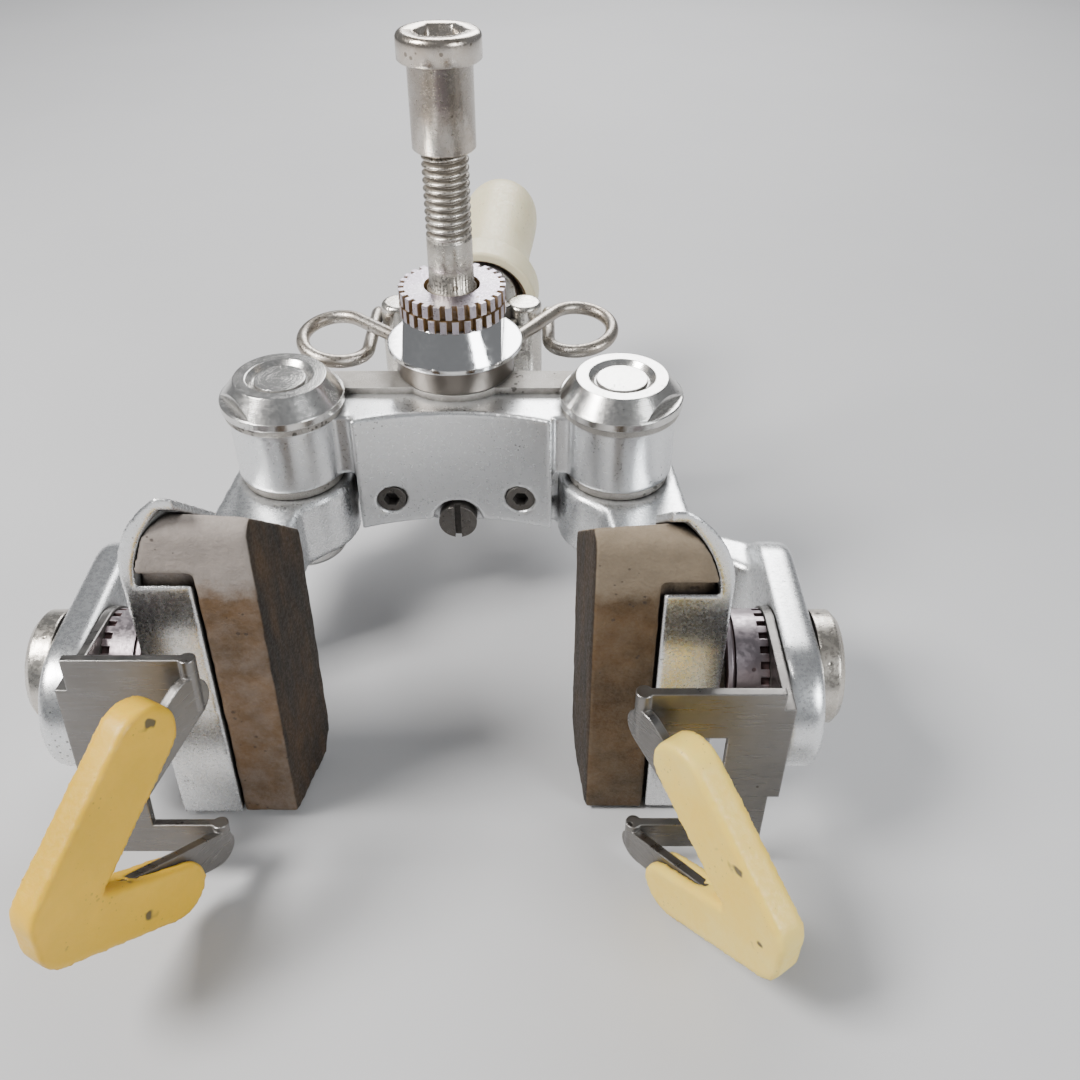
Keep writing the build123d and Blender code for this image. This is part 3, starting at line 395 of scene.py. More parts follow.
@dataclass(frozen=True)
class Metal:
    """Worn metal: base colour, stains, tool marks, pits, dirt with painted shade in corners, and bright
    edges.
    """

    name: str
    base: Colour
    stain: Colour
    # Colour of pits, and of the dirt and painted shade in corners.
    dirt_and_shade: Colour = (0.05, 0.045, 0.04)
    roughness: tuple[float, float] = (0.22, 0.4)
    stain_share: float = 0.5
    grain_scale: float = 260.0
    grain_stretch: Point = (1.0, 1.0, 1.0)
    grain_depth: float = 0.02
    pit_scale: float = 520.0
    pit_size: float = 0.25
    # Strength and reach of the crevice mask: dirt together with painted shade.
    dirt_and_shade_amount: float = 1.1
    dirt_and_shade_reach: float = 1.6 * MM
    edge_radius: float = 0.35 * MM
    edge_gain: float = 0.35
    rings: Optional[tuple[Point, Turning, float]] = None
    zones: tuple[Zone, ...] = ()

    def build(self) -> bpy.types.Material:
        """Make the material."""
        material = bpy.data.materials.new(self.name)
        material.use_nodes = True
        board = Board(material.node_tree)
        shader = material.node_tree.nodes["Principled BSDF"]
        shader.inputs["IOR"].default_value = 1.5
        cloud = GRAIN.place(board, Scale=self.grain_scale * 0.35)
        grain = GRAIN.place(board, Scale=self.grain_scale * 6, Stretch=self.grain_stretch)
        dirt_and_shade = CREVICE_DIRT_AND_SHADE.place(board, Reach=self.dirt_and_shade_reach, Amount=self.dirt_and_shade_amount)
        edges = EDGES.place(board, Radius=self.edge_radius)
        pits = PITS.place(board, Scale=self.pit_scale, Size=self.pit_size)
        colour = board.mix(board.math("MULTIPLY", cloud.outputs[0], self.stain_share), self.base, self.stain)
        rough = board.span(grain.outputs[0], 0.0, 1.0, *self.roughness)
        for zone in self.zones:
            band = BAND.place(board, Origin=zone.origin, Direction=zone.direction, Width=zone.width,
                              Ragged=zone.ragged)
            share = board.math("MULTIPLY", band.outputs[0], zone.share)
            colour = board.mix(share, colour, zone.colour)
            shift = board.math("MULTIPLY", share, zone.roughness)
            rough = board.math("ADD", rough, shift, clamp=True)
        bright = tuple(min(1.0, channel * 1.25 + 0.08) for channel in self.base)
        colour = board.mix(board.math("MULTIPLY", edges.outputs["Mask"], self.edge_gain), colour, bright)
        colour = board.mix(board.math("MULTIPLY", pits.outputs[0], 0.7), colour, self.dirt_and_shade)
        # Painted shade: the occlusion mask darkens corners toward the dirt colour, along with the dirt.
        colour = board.mix(dirt_and_shade.outputs[0], colour, self.dirt_and_shade)
        rough = board.math("ADD", rough, board.math("MULTIPLY", dirt_and_shade.outputs[0], 0.4), clamp=True)
        metallic = board.math("SUBTRACT", 1.0, board.math("MULTIPLY", dirt_and_shade.outputs[0], 0.75), clamp=True)
        height = board.math("SUBTRACT", board.math("MULTIPLY", grain.outputs[0], 0.4), pits.outputs[0])
        if self.rings:
            centre, across, count = self.rings
            turned = RINGS.place(board, Centre=centre, Across=across.value, Rings=count)
            height = board.math("ADD", height, turned.outputs[0])
        bump = board.add("ShaderNodeBump", {"Strength": 1.0, "Distance": self.grain_depth * MM})
        board.join(height, bump.inputs["Height"])
        board.join(edges.outputs["Normal"], bump.inputs["Normal"])
        board.join(colour, shader.inputs["Base Color"])
        board.join(rough, shader.inputs["Roughness"])
        board.join(metallic, shader.inputs["Metallic"])
        board.join(bump.outputs[0], shader.inputs["Normal"])
        return material


@dataclass(frozen=True)
class Plastic:
    """Aged moulded or dipped plastic with stains, nicks and soft edges."""

    name: str
    base: Colour
    shade: Colour
    # Colour of nicks and specks, and of the dirt and painted shade in corners.
    dirt_and_shade: Colour
    roughness: tuple[float, float] = (0.32, 0.5)
    nick_scale: float = 150.0
    nick_size: float = 0.0
    subsurface: float = 0.08
    dirt_and_shade_amount: float = 0.9
    edge_radius: float = 0.4 * MM
    zones: tuple[Zone, ...] = ()

    def build(self) -> bpy.types.Material:
        """Make the material."""
        material = bpy.data.materials.new(self.name)
        material.use_nodes = True
        board = Board(material.node_tree)
        shader = material.node_tree.nodes["Principled BSDF"]
        shader.inputs["Subsurface Weight"].default_value = self.subsurface
        shader.inputs["Subsurface Scale"].default_value = 0.6 * MM
        cloud = GRAIN.place(board, Scale=60.0)
        fine = GRAIN.place(board, Scale=1500.0)
        dirt_and_shade = CREVICE_DIRT_AND_SHADE.place(board, Reach=1.8 * MM, Amount=self.dirt_and_shade_amount)
        edges = EDGES.place(board, Radius=self.edge_radius)
        nicks = PITS.place(board, Scale=self.nick_scale, Size=self.nick_size)
        specks = PITS.place(board, Scale=1400.0, Size=0.26)
        colour = board.mix(cloud.outputs[0], self.base, self.shade)
        rough = board.span(fine.outputs[0], 0.0, 1.0, *self.roughness)
        for zone in self.zones:
            band = BAND.place(board, Origin=zone.origin, Direction=zone.direction, Width=zone.width,
                              Ragged=zone.ragged)
            colour = board.mix(board.math("MULTIPLY", band.outputs[0], zone.share), colour, zone.colour)
        faint = board.math("MULTIPLY", specks.outputs[0], 0.35)
        marks = board.math("ADD", nicks.outputs[0], faint, clamp=True)
        colour = board.mix(marks, colour, self.dirt_and_shade)
        # Painted shade: the occlusion mask darkens corners toward the dirt colour, along with the dirt.
        colour = board.mix(dirt_and_shade.outputs[0], colour, self.dirt_and_shade)
        height = board.math("SUBTRACT", board.math("MULTIPLY", fine.outputs[0], 0.3), nicks.outputs[0])
        bump = board.add("ShaderNodeBump", {"Strength": 0.8, "Distance": 0.05 * MM})
        board.join(height, bump.inputs["Height"])
        board.join(edges.outputs["Normal"], bump.inputs["Normal"])
        board.join(colour, shader.inputs["Base Color"])
        board.join(rough, shader.inputs["Roughness"])
        board.join(bump.outputs[0], shader.inputs["Normal"])
        return material


@dataclass(frozen=True)
class PadRubber:
    """Old brake rubber: dusty nose, rusty brown sides and a dark streaked braking face."""

    name: str
    inward: Point
    dust: Colour
    side: Colour
    rust: Colour
    face: Colour = (0.013, 0.009, 0.006)
    dust_from: float = -11.5 * MM
    dust_fade: float = 2.6 * MM
    dust_ragged: float = 6 * MM

    def build(self) -> bpy.types.Material:
        """Make the material."""
        material = bpy.data.materials.new(self.name)
        material.use_nodes = True
        board = Board(material.node_tree)
        shader = material.node_tree.nodes["Principled BSDF"]
        cloud = GRAIN.place(board, Scale=130.0)
        mottle = GRAIN.place(board, Scale=420.0)
        fine = GRAIN.place(board, Scale=2400.0)
        streak = GRAIN.place(board, Scale=300.0, Stretch=(1.0, 1.4, 0.22))
        dirt_and_shade = CREVICE_DIRT_AND_SHADE.place(board, Reach=1.4 * MM, Amount=1.0)
        specks = PITS.place(board, Scale=900.0, Size=0.3)
        nose = BAND.place(board, Origin=(0, 0, self.dust_from), Direction=(0, 0, 1),
                          Width=self.dust_fade, Ragged=self.dust_ragged)
        facing = FACING.place(board, Direction=self.inward)
        edges = EDGES.place(board, Radius=0.5 * MM)
        colour = board.mix(cloud.outputs[0], self.side, self.rust)
        pale = board.mix(mottle.outputs[0], self.dust, tuple(0.78 * c for c in self.dust))
        colour = board.mix(nose.outputs[0], colour, pale)
        colour = board.mix(board.math("MULTIPLY", mottle.outputs[0], 0.22), colour, self.dust)
        worn = board.mix(streak.outputs[0], self.face, tuple(0.42 * c for c in self.rust))
        worn = board.mix(board.math("MULTIPLY", mottle.outputs[0], 0.55), worn, self.face)
        colour = board.mix(facing.outputs[0], colour, worn)
        colour = board.mix(board.math("MULTIPLY", edges.outputs["Mask"], 0.3), colour, self.dust)
        colour = board.mix(board.math("MULTIPLY", specks.outputs[0], 0.6), colour, (0.03, 0.02, 0.015))
        # Painted shade: the occlusion mask darkens corners to near black, along with the dirt.
        colour = board.mix(dirt_and_shade.outputs[0], colour, (0.02, 0.015, 0.012))
        height = board.math("ADD", board.math("MULTIPLY", fine.outputs[0], 0.5), mottle.outputs[0])
        height = board.math("ADD", height, board.math("MULTIPLY", streak.outputs[0], facing.outputs[0]))
        bump = board.add("ShaderNodeBump", {"Strength": 0.7, "Distance": 0.09 * MM})
        board.join(board.math("SUBTRACT", height, specks.outputs[0]), bump.inputs["Height"])
        board.join(edges.outputs["Normal"], bump.inputs["Normal"])
        board.join(colour, shader.inputs["Base Color"])
        board.join(board.span(fine.outputs[0], 0.0, 1.0, 0.62, 0.9), shader.inputs["Roughness"])
        board.join(bump.outputs[0], shader.inputs["Normal"])
        return material


ALLOY = (0.83, 0.835, 0.84)


class Finishes:
    """Every finish on the caliper, built once and shared by slot."""

    def __init__(self) -> None:
        """Start with none built."""
        self.made: dict[str, bpy.types.Material] = {}

    def get(self, finish: Metal | Plastic | PadRubber) -> bpy.types.Material:
        """Build a finish, or return it if it is already there."""
        if finish.name not in self.made:
            self.made[finish.name] = finish.build()
        return self.made[finish.name]

    def dress(self, node: str, finish: Metal | Plastic | PadRubber) -> None:
        """Give a piece from the frame its finish.

        Args:
            node: the piece's name.
            finish: what it is finished in.
        """
        piece = bpy.data.objects[node]
        material = self.get(finish)
        if not piece.material_slots:
            piece.data.materials.append(material)
        for place in piece.material_slots:
            place.material = material


# ---- mesh helpers ------------------------------------------------------------------
def finish_mesh(name: str, work: bmesh.types.BMesh, smooth: bool = True) -> bpy.types.Object:
    """Turn a bmesh into an object in the scene.

    Args:
        name: the object's name.
        work: the mesh; it is freed.
        smooth: shade its faces smoothly.

    Returns:
        The new object.
    """
    bmesh.ops.recalc_face_normals(work, faces=work.faces)
    for face in work.faces:
        face.smooth = smooth
    data = bpy.data.meshes.new(name)
    work.to_mesh(data)
    work.free()
    piece = bpy.data.objects.new(name, data)
    bpy.context.collection.objects.link(piece)
    return piece


def lathe(name: str, rows: Sequence[tuple[float, Radius]], turns: int) -> bpy.types.Object:
    """Spin rows about Z. Each row has a height and a radius that may change round it.

    Args:
        name: the object's name.
        rows: height and radius function (angle, height) of each row, in metres.
        turns: points round each row.

    Returns:
        The new object.
    """
    work = bmesh.new()
    rings = []
    for height, radius in rows:
        ring = []
        for step in range(turns):
            angle = 2 * math.pi * step / turns
            reach = radius(angle, height)
            ring.append(work.verts.new((reach * math.cos(angle), reach * math.sin(angle), height)))
        rings.append(ring)
    for low, high in zip(rings, rings[1:]):
        for step in range(turns):
            after = (step + 1) % turns
            work.faces.new((low[step], low[after], high[after], high[step]))
    for ring in (rings[0], rings[-1]):
        work.faces.new(ring)
    return finish_mesh(name, work)


def plain(radius: float) -> Radius:
    """Radius that is the same all round."""
    return lambda angle, height: radius


def hexagon(flats: float) -> Radius:
    """Radius of a hexagonal socket, from its size across the flats."""
    sixth = math.pi / 3
    return lambda angle, height: flats / 2 / math.cos((angle % sixth) - sixth / 2)


def tube(name: str, path: Sequence[Vector], radius: float, sides: int = 20) -> bpy.types.Object:
    """Round wire along a path, with rounded-off ends.

    Args:
        name: the object's name.
        path: points in metres.
        radius: wire radius in metres.
        sides: points round the wire.

    Returns:
        The new object.
    """
    work = bmesh.new()
    rings = []
    lean = Vector((0, 0, 1))
    last = len(path) - 1
    ends = {0: 0.75, last: 0.75}
    for place, point in enumerate(path):
        ahead = path[min(place + 1, last)] - path[max(place - 1, 0)]
        ahead.normalize()
        side = lean.cross(ahead).normalized()
        lean = ahead.cross(side).normalized()
        reach = radius * ends.get(place, 1.0)
        ring = [point + reach * (math.cos(a) * side + math.sin(a) * lean)
                for a in (2 * math.pi * step / sides for step in range(sides))]
        rings.append([work.verts.new(corner) for corner in ring])
    for low, high in zip(rings, rings[1:]):
        for step in range(sides):
            after = (step + 1) % sides
            work.faces.new((low[step], low[after], high[after], high[step]))
    for ring in (rings[0], rings[-1]):
        work.faces.new(ring)
    return finish_mesh(name, work)


def softened(node: str, name: str, voxel: float, passes: int, swell: float = 0.0,
             roughen: float = 0.0) -> bpy.types.Object:
    """Copy a piece from the frame and round it off all over.

    Args:
        node: the piece to copy.
        name: the new object's name.
        voxel: size of the new mesh's cells, in metres.
        passes: how many times it is smoothed.
        swell: how far the surface then moves out, in metres.
        roughen: height of slow unevenness, in metres.

    Returns:
        The new object.
    """
    data = bpy.data.objects[node].data.copy()
    piece = bpy.data.objects.new(name, data)
    bpy.context.collection.objects.link(piece)
    cells = piece.modifiers.new("cells", "REMESH")
    cells.mode, cells.voxel_size, cells.adaptivity = "VOXEL", voxel, 0.0
    smooth = piece.modifiers.new("smooth", "SMOOTH")
    smooth.factor, smooth.iterations = 0.5, passes
    graph = bpy.context.evaluated_depsgraph_get()
    shaped = bpy.data.meshes.new_from_object(piece.evaluated_get(graph))
    piece.modifiers.clear()
    piece.data = shaped
    piece.data.materials.clear()
    work = bmesh.new()
    work.from_mesh(shaped)
    work.normal_update()
    for vertex in work.verts:
        rough = noise.fractal(vertex.co / (3.2 * MM), 0.7, 2.1, 3) * roughen
        vertex.co += vertex.normal * (swell + rough)
    for face in work.faces:
        face.smooth = True
    work.to_mesh(shaped)
    work.free()
    return piece


def settle(piece: bpy.types.Object, node: str, body: str, material: bpy.types.Material) -> None:
    """Put a finished piece in the place of a frame piece.

    Args:
        piece: the new piece.
        node: the frame piece that it stands for.
        body: the body that it rides on.
        material: its finish.
    """
    piece.data.materials.append(material)
    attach(piece, body)
    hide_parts(node)
    LOG.info("piece %s for %s on %s", piece.name, node, body)


# ---- sub-assemblies ----------------------------------------------------------------
@dataclass
class MountingStack:
    """Bolt with a real thread, sleeve nut, toothed washer and centring nut."""

    bolt_radius: float = SEAT_RADIUS
    shoulder_radius: float = 3.3 * MM
    head_radius: float = 5.0 * MM
    foot: float = -22.9 * MM
    head_top: float = -18.9 * MM
    plain_top: float = 6.5 * MM
    tip: float = 25.4 * MM
    pitch: float = 1.0 * MM
    thread_depth: float = 0.56 * MM
    knurl_top: float = 2.3 * MM
    knurl_ridges: int = 36
    points_round: int = 144
    nut_head_height: float = 3.2 * MM
    nut_socket_depth: float = 5.0 * MM
    nut_barrel: float = 3.95 * MM
    thread_clearance: float = 0.04 * MM
    round_off: float = 0.75 * MM

    def thread(self, angle: float, height: float) -> float:
        """Radius of the helical thread at an angle and a height."""
        turn = (height / self.pitch - angle / (2 * math.pi)) % 1.0
        ridge = min(1.0, max(0.0, abs(turn - 0.5) * 2.6 - 0.25))
        fade = min(1.0, (height - self.plain_top) / self.pitch, (self.tip - height) / (0.6 * self.pitch))
        return self.bolt_radius - self.thread_depth * ridge * max(0.0, fade) - 0.03 * MM

    def knurl(self, angle: float, height: float) -> float:
        """Radius of the lightly knurled foot of the plain shank."""
        ridge = 0.5 + 0.5 * math.cos(self.knurl_ridges * angle)
        return self.bolt_radius - 0.09 * MM * (1.0 - ridge)

    def build_bolt(self) -> bpy.types.Object:
        """Make the bolt."""
        socket_roof = self.foot + 2.5 * MM
        lip = 0.3 * MM
        rows = [
            (socket_roof, plain(0.4 * MM)), (socket_roof, hexagon(4.0 * MM)), (self.foot, hexagon(4.0 * MM)),
            (self.foot, plain(self.head_radius - lip)), (self.foot + lip, plain(self.head_radius)),
            (self.head_top, plain(self.head_radius)), (self.head_top, plain(self.shoulder_radius)),
            (-0.2 * MM, plain(self.shoulder_radius)), (0.0, self.knurl), (self.knurl_top, self.knurl),
            (self.knurl_top + 0.15 * MM, plain(self.bolt_radius - 0.12 * MM)),
            (self.knurl_top + 0.5 * MM, plain(self.bolt_radius - 0.02 * MM)),
        ]
        steps = int((self.tip - self.plain_top) / self.pitch * 12)
        rows += [(self.plain_top + (self.tip - self.plain_top) * step / steps, self.thread)
                 for step in range(steps + 1)]
        rows.append((self.tip, plain(0.6 * MM)))
        return lathe("bolt_with_thread", rows, self.points_round)

    def build_nut(self) -> bpy.types.Object:
        """Make the sleeve nut with its softened head and key socket."""
        low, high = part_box("recessed_nut")
        foot, top, head = low.z, high.z, high.x
        head_foot, barrel = top - self.nut_head_height, self.nut_barrel
        bore = self.bolt_radius + self.thread_clearance
        floor = top - self.nut_socket_depth
        rows = [(floor, plain(bore)), (foot + 0.3 * MM, plain(bore)), (foot, plain(bore + 0.3 * MM)),
                (foot, plain(barrel - 0.25 * MM)), (foot + 0.25 * MM, plain(barrel)),
                (head_foot, plain(barrel)),
                (head_foot, plain(head - 0.2 * MM)), (head_foot + 0.2 * MM, plain(head))]
        for step in range(7):
            share = step / 6 * math.pi / 2
            round_off = self.round_off
            rows.append((top - round_off + round_off * math.sin(share),
                         plain(head - round_off + round_off * math.cos(share))))
        rows += [(top, plain(3.15 * MM)), (top - 0.25 * MM, hexagon(5.0 * MM)), (floor, hexagon(5.0 * MM)),
                 (floor, plain(bore))]
        work = lathe("sleeve_nut", rows, self.points_round)
        shell = bmesh.new()
        shell.from_mesh(work.data)
        caps = [face for face in shell.faces if len(face.verts) > 4]
        bmesh.ops.delete(shell, geom=caps, context="FACES_ONLY")
        bmesh.ops.remove_doubles(shell, verts=shell.verts, dist=0.002 * MM)
        bmesh.ops.recalc_face_normals(shell, faces=shell.faces)
        shell.to_mesh(work.data)
        shell.free()
        return work

    def make(self, finishes: Finishes) -> None:
        """Build and dress the stack."""
        bolt_steel = Metal("bolt_steel", (0.6, 0.57, 0.52), (0.42, 0.35, 0.27), roughness=(0.2, 0.42),
                           dirt_and_shade=(0.1, 0.075, 0.05), grain_scale=420.0, dirt_and_shade_amount=1.5, dirt_and_shade_reach=0.7 * MM,
                           edge_radius=0.12 * MM)
        nut_steel = Metal("nut_steel", (0.66, 0.62, 0.57), (0.46, 0.37, 0.28), roughness=(0.16, 0.28),
                          dirt_and_shade=(0.14, 0.11, 0.08), grain_scale=420.0, grain_depth=0.006, stain_share=0.7,
                          pit_scale=900.0, pit_size=0.32)
        settle(self.build_bolt(), "mounting_bolt", "caliper_body", finishes.get(bolt_steel))
        settle(self.build_nut(), "recessed_nut", "fixing_nut", finishes.get(nut_steel))
        finishes.dress("serrated_washer", Metal(
            "washer_steel", (0.52, 0.49, 0.53), (0.4, 0.34, 0.42), dirt_and_shade=(0.24, 0.15, 0.06),
            roughness=(0.26, 0.46),
            dirt_and_shade_amount=2.0, dirt_and_shade_reach=1.1 * MM, stain_share=0.8, edge_radius=0.12 * MM, edge_gain=0.7,
            grain_scale=500.0))
        finishes.dress("centring_nut", Metal(
            "chromed_nut", (0.8, 0.8, 0.8), (0.66, 0.66, 0.66), roughness=(0.06, 0.14), pit_scale=900.0,
            pit_size=0.12, dirt_and_shade_amount=0.8, dirt_and_shade_reach=1.2 * MM, grain_depth=0.004,
            zones=(Zone((0, 0, -8.7 * MM), (0, 0, -1), (0.2, 0.18, 0.16), 0.25, 0.2 * MM, 0.15 * MM),)))
        LOG.info("mounting stack dressed")


@dataclass
class ForgedBody:
    """Bridge, stamped strap, pivots and screws."""

    ring_count: float = 42000.0
    voxel: float = 0.28 * MM
    smoothing: int = 4
    sides: tuple[Side, ...] = (Side.RIGHT, Side.LEFT)

    def make(self, finishes: Finishes) -> None:
        """Dress the bridge and what is fixed to it."""
        alloy = Metal("forged_alloy", ALLOY, (0.78, 0.8, 0.82), roughness=(0.27, 0.33), stain_share=0.4,
                      pit_scale=1500.0, pit_size=0.22, dirt_and_shade_amount=1.3, edge_radius=0.55 * MM,
                      grain_scale=420.0,
                      grain_depth=0.003)
        stamped = Metal("stamped_steel", (0.5, 0.48, 0.45), (0.3, 0.27, 0.24), roughness=(0.34, 0.6),
                        pit_scale=1300.0, pit_size=0.5, dirt_and_shade_amount=1.3, grain_scale=900.0, grain_depth=0.09,
                        edge_radius=0.15 * MM, edge_gain=0.8)
        dark = Metal("dark_screws", (0.16, 0.15, 0.14), (0.08, 0.07, 0.06), roughness=(0.25, 0.45),
                     edge_radius=0.15 * MM, edge_gain=0.5, dirt_and_shade_amount=1.5)
        forging = softened("bridge", "forged_bridge", self.voxel, self.smoothing)
        settle(forging, "bridge", "caliper_body", finishes.get(alloy))
        finishes.dress("tie_plate", stamped)
        for node in ("grub_screws", "link_screw", "link_pin", "cable_clamp_screw"):
            finishes.dress(node, dark)
        for side in self.sides:
            centre = (side.value * PIVOT_X, PIVOT_Y, 0.0)
            turned = Metal(f"turned_steel_{side.word}", (0.74, 0.73, 0.71), (0.6, 0.58, 0.55),
                           roughness=(0.18, 0.26), grain_depth=0.006, pit_scale=1800.0,
                           dirt_and_shade_amount=0.9, edge_radius=0.2 * MM,
                           edge_gain=0.5, rings=(centre, Turning.UPRIGHT, self.ring_count))
            finishes.dress(f"pivot_nut_{side.word}", turned)
            finishes.dress(f"pivot_bolt_{side.word}", turned)
            finishes.dress(f"thrust_washer_{side.word}", stamped)
            bronze = Metal("bush_bronze", (0.62, 0.44, 0.22), (0.4, 0.26, 0.12))
            finishes.dress(f"pivot_bush_{side.word}", bronze)
        LOG.info("bridge and pivots dressed")


@dataclass
class Arms:
    """Both swinging arms with their posts, clamp and return springs."""

    wire_radius: float = 0.95 * MM
    coil_radius: float = 4.6 * MM
    coil_rise: float = 2.9 * MM
    post_x: float = 9.3 * MM
    post_y: float = 14.5 * MM
    post_radius: float = 2.65 * MM
    leg_overrun: float = 3.2 * MM
    leg_top: float = -9.75 * MM
    mouth_x: float = 8.05 * 0.86 * MM
    mouth_y: dict[Side, float] = field(default_factory=lambda: {Side.RIGHT: 1.2 * MM, Side.LEFT: 2.2 * MM})
    coil_y: dict[Side, float] = field(default_factory=lambda: {Side.RIGHT: 8.6 * MM, Side.LEFT: 5.6 * MM})
    points_in_coil: int = 120
    voxel: float = 0.34 * MM
    smoothing: int = 14
    draw_in: float = -0.09 * MM

    def spring_path(self, side: Side) -> list[Vector]:
        """Centre line of one return spring: inner leg, loop and outer leg."""
        mouth = Vector((self.mouth_x, self.mouth_y[side]))
        centre_x = self.post_x + self.post_radius + self.wire_radius + 0.05 * MM + self.coil_radius
        centre = Vector((centre_x, self.coil_y[side]))
        away = centre - mouth
        lean = math.atan2(away.y, away.x) + math.asin(self.coil_radius / away.length)
        start = lean + math.pi / 2
        turn = start + math.pi
        points = []
        first = centre + self.coil_radius * Vector((math.cos(start), math.sin(start)))
        for step in range(12):
            spot = mouth.lerp(first, step / 12)
            points.append((spot.x, spot.y, self.leg_top))
        for step in range(self.points_in_coil + 1):
            share = step / self.points_in_coil
            angle = start - turn * share
            points.append((centre.x + self.coil_radius * math.cos(angle),
                           centre.y + self.coil_radius * math.sin(angle),
                           self.leg_top - self.coil_rise * (3 * share ** 2 - 2 * share ** 3)))
        end_y = self.post_y + self.leg_overrun
        begin_y = centre.y
        for step in range(1, 13):
            points.append((centre.x - self.coil_radius, begin_y + (end_y - begin_y) * step / 12,
                           self.leg_top - self.coil_rise))
        return [Vector((side.value * x, y, z)) for x, y, z in points]

    def make(self, finishes: Finishes) -> None:
        """Build the springs and dress the arms."""
        alloy = Metal("arm_alloy", ALLOY, (0.76, 0.78, 0.8), roughness=(0.25, 0.32), stain_share=0.45,
                      pit_scale=1500.0, pit_size=0.26, dirt_and_shade_amount=1.5, edge_radius=1.1 * MM,
                      grain_scale=420.0,
                      grain_depth=0.004)
        post = Metal("post_steel", (0.7, 0.68, 0.64), (0.52, 0.46, 0.38), roughness=(0.18, 0.34),
                     edge_radius=0.3 * MM, dirt_and_shade_amount=1.2)
        wire = Metal("spring_wire", (0.5, 0.47, 0.43), (0.36, 0.3, 0.24), roughness=(0.26, 0.42),
                     stain_share=0.7,
                     grain_scale=600.0, pit_scale=1100.0, pit_size=0.36, grain_depth=0.03, edge_gain=0.0,
                     edge_radius=0.1 * MM)
        for side in (Side.RIGHT, Side.LEFT):
            arm = softened(f"{side.word}_arm", f"forged_arm_{side.word}", self.voxel, self.smoothing,
                           self.draw_in)
            settle(arm, f"{side.word}_arm", f"{side.word}_arm_body", finishes.get(alloy))
        for node in ("spring_post_left", "cable_post_right", "cable_clamp_washer"):
            finishes.dress(node, post)
        for side in (Side.RIGHT, Side.LEFT):
            spring = tube(f"spring_loop_{side.word}", self.spring_path(side), self.wire_radius)
            spring.data.materials.append(finishes.get(wire))
            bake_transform(spring)
            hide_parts(f"return_spring_{side.word}")
        LOG.info("arms dressed")


@dataclass
class CableAdjuster:
    """Cream cover, its ring and the hollow screw inside."""

    groove_at: float = 5.3 * MM

    def make(self, finishes: Finishes) -> None:
        """Dress the adjuster."""
        axis = adjuster_axis()
        foot = Vector(ADJUSTER_FOOT)
        groove = foot + axis * self.groove_at
        back = foot + axis * (self.groove_at + 1.3 * MM)
        # Painted shade: the dark brown bands where cover and ring meet stand in for the shade in the groove
        # between them.
        painted_groove_shade = (0.09, 0.05, 0.03)
        cream = (0.83, 0.75, 0.52)
        cover = Plastic("cream_cover", cream, (0.72, 0.64, 0.4), (0.2, 0.16, 0.09), roughness=(0.34, 0.52),
                        zones=(Zone(tuple(back), tuple(-axis), painted_groove_shade, 0.2, 0.5 * MM, 0.2 * MM),))
        ring = Plastic("cream_ring", cream, (0.68, 0.61, 0.39), (0.2, 0.17, 0.1), roughness=(0.34, 0.52),
                       zones=(Zone(tuple(groove), tuple(axis), painted_groove_shade, 0.2, 0.4 * MM, 0.2 * MM),))
        finishes.dress("adjuster_cover", cover)
        finishes.dress("adjuster_ring", ring)
        finishes.dress("adjuster_screw", Metal("screw_brass", (0.6, 0.57, 0.5), (0.4, 0.33, 0.24)))
        LOG.info("cable adjuster dressed")


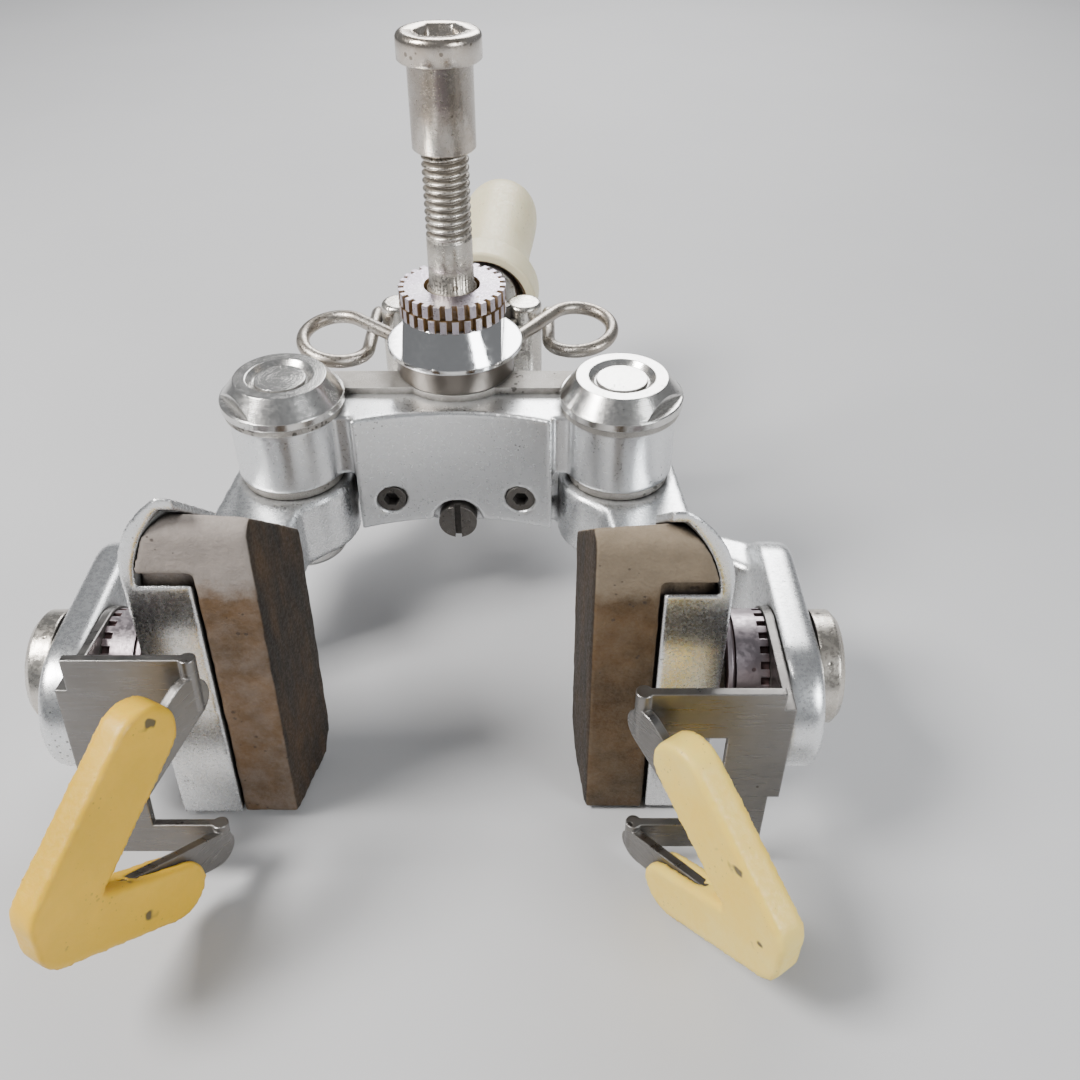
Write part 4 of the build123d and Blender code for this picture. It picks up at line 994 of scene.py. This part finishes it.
@dataclass
class PadCarrier:
    """One pad with its holder, washers, nut and coated wheel guide."""

    side: Side
    dust: Colour
    flank: Colour
    rust: Colour
    coat: Colour
    coat_shade: Colour
    pad_voxel: float = 0.3 * MM
    coat_voxel: float = 0.32 * MM
    shoe_voxel: float = 0.2 * MM

    def make(self, finishes: Finishes) -> None:
        """Build and dress everything on this side's stud."""
        word = self.side.word
        centre = (0.0, STUD_Y, STUD_Z)
        rubber = PadRubber(f"pad_rubber_{word}", (-float(self.side.value), 0.0, 0.0), self.dust, self.flank,
                           self.rust)
        block = softened(f"brake_pad_{word}", f"rubber_block_{word}", self.pad_voxel, 8, roughen=0.06 * MM)
        settle(block, f"brake_pad_{word}", f"pad_{word}", finishes.get(rubber))
        coat = Plastic(f"dipped_coat_{word}", self.coat, self.coat_shade, (0.11, 0.08, 0.03), nick_size=0.36,
                       nick_scale=170.0, roughness=(0.3, 0.46), subsurface=0.12, dirt_and_shade_amount=0.5,
                       edge_radius=0.6 * MM)
        dipped = softened(f"guide_coating_{word}", f"dipped_loop_{word}", self.coat_voxel, 9, swell=0.12 * MM)
        settle(dipped, f"guide_coating_{word}", f"guide_{word}", finishes.get(coat))
        shoe = softened(f"pad_holder_{word}", f"folded_shoe_{word}", self.shoe_voxel, 3)
        settle(shoe, f"pad_holder_{word}", f"pad_{word}", finishes.get(Metal(
            "holder_alloy", ALLOY, (0.72, 0.73, 0.74), roughness=(0.22, 0.3), edge_radius=0.5 * MM,
            dirt_and_shade_amount=1.3, pit_scale=1600.0, pit_size=0.26, grain_scale=420.0, grain_depth=0.003)))
        # Painted shade: the dark base and stain colours stand in for the shade on the downward-facing guide
        # plate.
        finishes.dress(f"wheel_guide_{word}", Metal(
            "guide_steel", (0.25, 0.24, 0.23), (0.16, 0.15, 0.14), roughness=(0.26, 0.4), grain_scale=300.0,
            grain_stretch=(0.12, 0.12, 1.6), grain_depth=0.03, edge_radius=0.3 * MM, edge_gain=0.9,
            pit_size=0.22))
        stained = Metal(f"stained_washer_{word}", (0.4, 0.36, 0.38), (0.25, 0.18, 0.2),
                        dirt_and_shade=(0.09, 0.05, 0.05),
                        roughness=(0.28, 0.5), dirt_and_shade_amount=1.6, edge_gain=0.8, edge_radius=0.15 * MM,
                        rings=(centre, Turning.SIDEWAYS, 30000.0))
        finishes.dress(f"toe_washer_convex_{word}", stained)
        finishes.dress(f"toe_washer_hollow_{word}", stained)
        nut = Metal(f"pad_nut_steel_{word}", (0.68, 0.65, 0.6), (0.5, 0.42, 0.32), roughness=(0.2, 0.36),
                    edge_radius=0.4 * MM, dirt_and_shade_amount=1.2, rings=(centre, Turning.SIDEWAYS, 26000.0))
        finishes.dress(f"pad_nut_{word}", nut)
        finishes.dress(f"pad_stud_{word}", nut)
        LOG.info("pad carrier %s dressed", word)


@dataclass
class Studio:
    """Pale floor, soft lights and the camera."""

    camera_place: Point = (11.7 * MM, -133.2 * MM, 62.6 * MM)
    camera_pitch_deg: float = 38.5
    lens: float = 36.0
    floor_gap: float = 0.3 * MM
    floor_size: float = 6.0

    def make_camera(self) -> None:
        """Create the camera and make it the scene's."""
        data = bpy.data.cameras.new("camera")
        data.lens, data.sensor_width = self.lens, 36.0
        data.clip_start, data.clip_end = 1 * MM, 20.0
        camera = bpy.data.objects.new("camera", data)
        bpy.context.collection.objects.link(camera)
        camera.location = self.camera_place
        camera.rotation_euler = (math.radians(90.0 - self.camera_pitch_deg), 0.0, 0.0)
        bpy.context.scene.camera = camera

    def make_floor(self) -> None:
        """Lay the floor just under the caliper."""
        low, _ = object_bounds()
        half = self.floor_size / 2
        work = bmesh.new()
        bmesh.ops.create_grid(work, x_segments=8, y_segments=8, size=half)
        floor = finish_mesh("floor", work)
        floor.location = (0.0, 0.0, low.z - self.floor_gap)
        material = bpy.data.materials.new("floor_paint")
        material.use_nodes = True
        board = Board(material.node_tree)
        cloud = GRAIN.place(board, Scale=6.0)
        shade = board.mix(cloud.outputs[0], (0.5, 0.5, 0.51), (0.53, 0.53, 0.54))
        shader = material.node_tree.nodes["Principled BSDF"]
        board.join(shade, shader.inputs["Base Color"])
        shader.inputs["Roughness"].default_value = 0.7
        floor.data.materials.append(material)
        floor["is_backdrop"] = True

    def add_light(self, name: str, place: Point, size: float, power: float,
                  colour: Colour = (1, 1, 1)) -> None:
        """Hang a soft square light that looks at the caliper.

        Args:
            name: the light's name.
            place: where it hangs, in metres.
            size: its side, in metres.
            power: its power in watts.
            colour: its tint.
        """
        data = bpy.data.lights.new(name, "AREA")
        data.size, data.energy, data.color = size, power, colour
        light = bpy.data.objects.new(name, data)
        bpy.context.collection.objects.link(light)
        light.location = place
        aim = Vector((0.0, -0.02, -0.02)) - Vector(place)
        light.rotation_euler = aim.to_track_quat("-Z", "Y").to_euler()

    def make(self) -> None:
        """Set up the whole studio."""
        self.make_camera()
        self.make_floor()
        self.add_light("key", (-0.28, -0.1, 0.32), 0.16, 3.4, (1.0, 0.985, 0.96))
        self.add_light("fill", (0.3, -0.26, 0.16), 0.16, 1.1, (0.95, 0.98, 1.0))
        self.add_light("rim", (0.05, 0.4, 0.26), 0.26, 2.2)
        world = bpy.data.worlds.new("studio")
        world.use_nodes = True
        world.node_tree.nodes["Background"].inputs["Color"].default_value = (0.78, 0.8, 0.83, 1.0)
        world.node_tree.nodes["Background"].inputs["Strength"].default_value = 0.3
        bpy.context.scene.world = world
        LOG.info("studio ready")


def main() -> None:
    """Build the looks in order."""
    logging.basicConfig(level=logging.INFO, format="%(message)s")
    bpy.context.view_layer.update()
    studio = Studio()
    finishes = Finishes()
    MountingStack().make(finishes)
    ForgedBody().make(finishes)
    Arms().make(finishes)
    CableAdjuster().make(finishes)
    PadCarrier(Side.RIGHT, (0.24, 0.185, 0.125), (0.05, 0.031, 0.013), (0.1, 0.052, 0.017),
               (0.92, 0.62, 0.08), (0.93, 0.72, 0.2)).make(finishes)
    PadCarrier(Side.LEFT, (0.36, 0.31, 0.275), (0.08, 0.05, 0.027), (0.13, 0.07, 0.027),
               (0.84, 0.5, 0.03), (0.66, 0.4, 0.02)).make(finishes)
    studio.make()


if __name__ == "__main__":
    main()
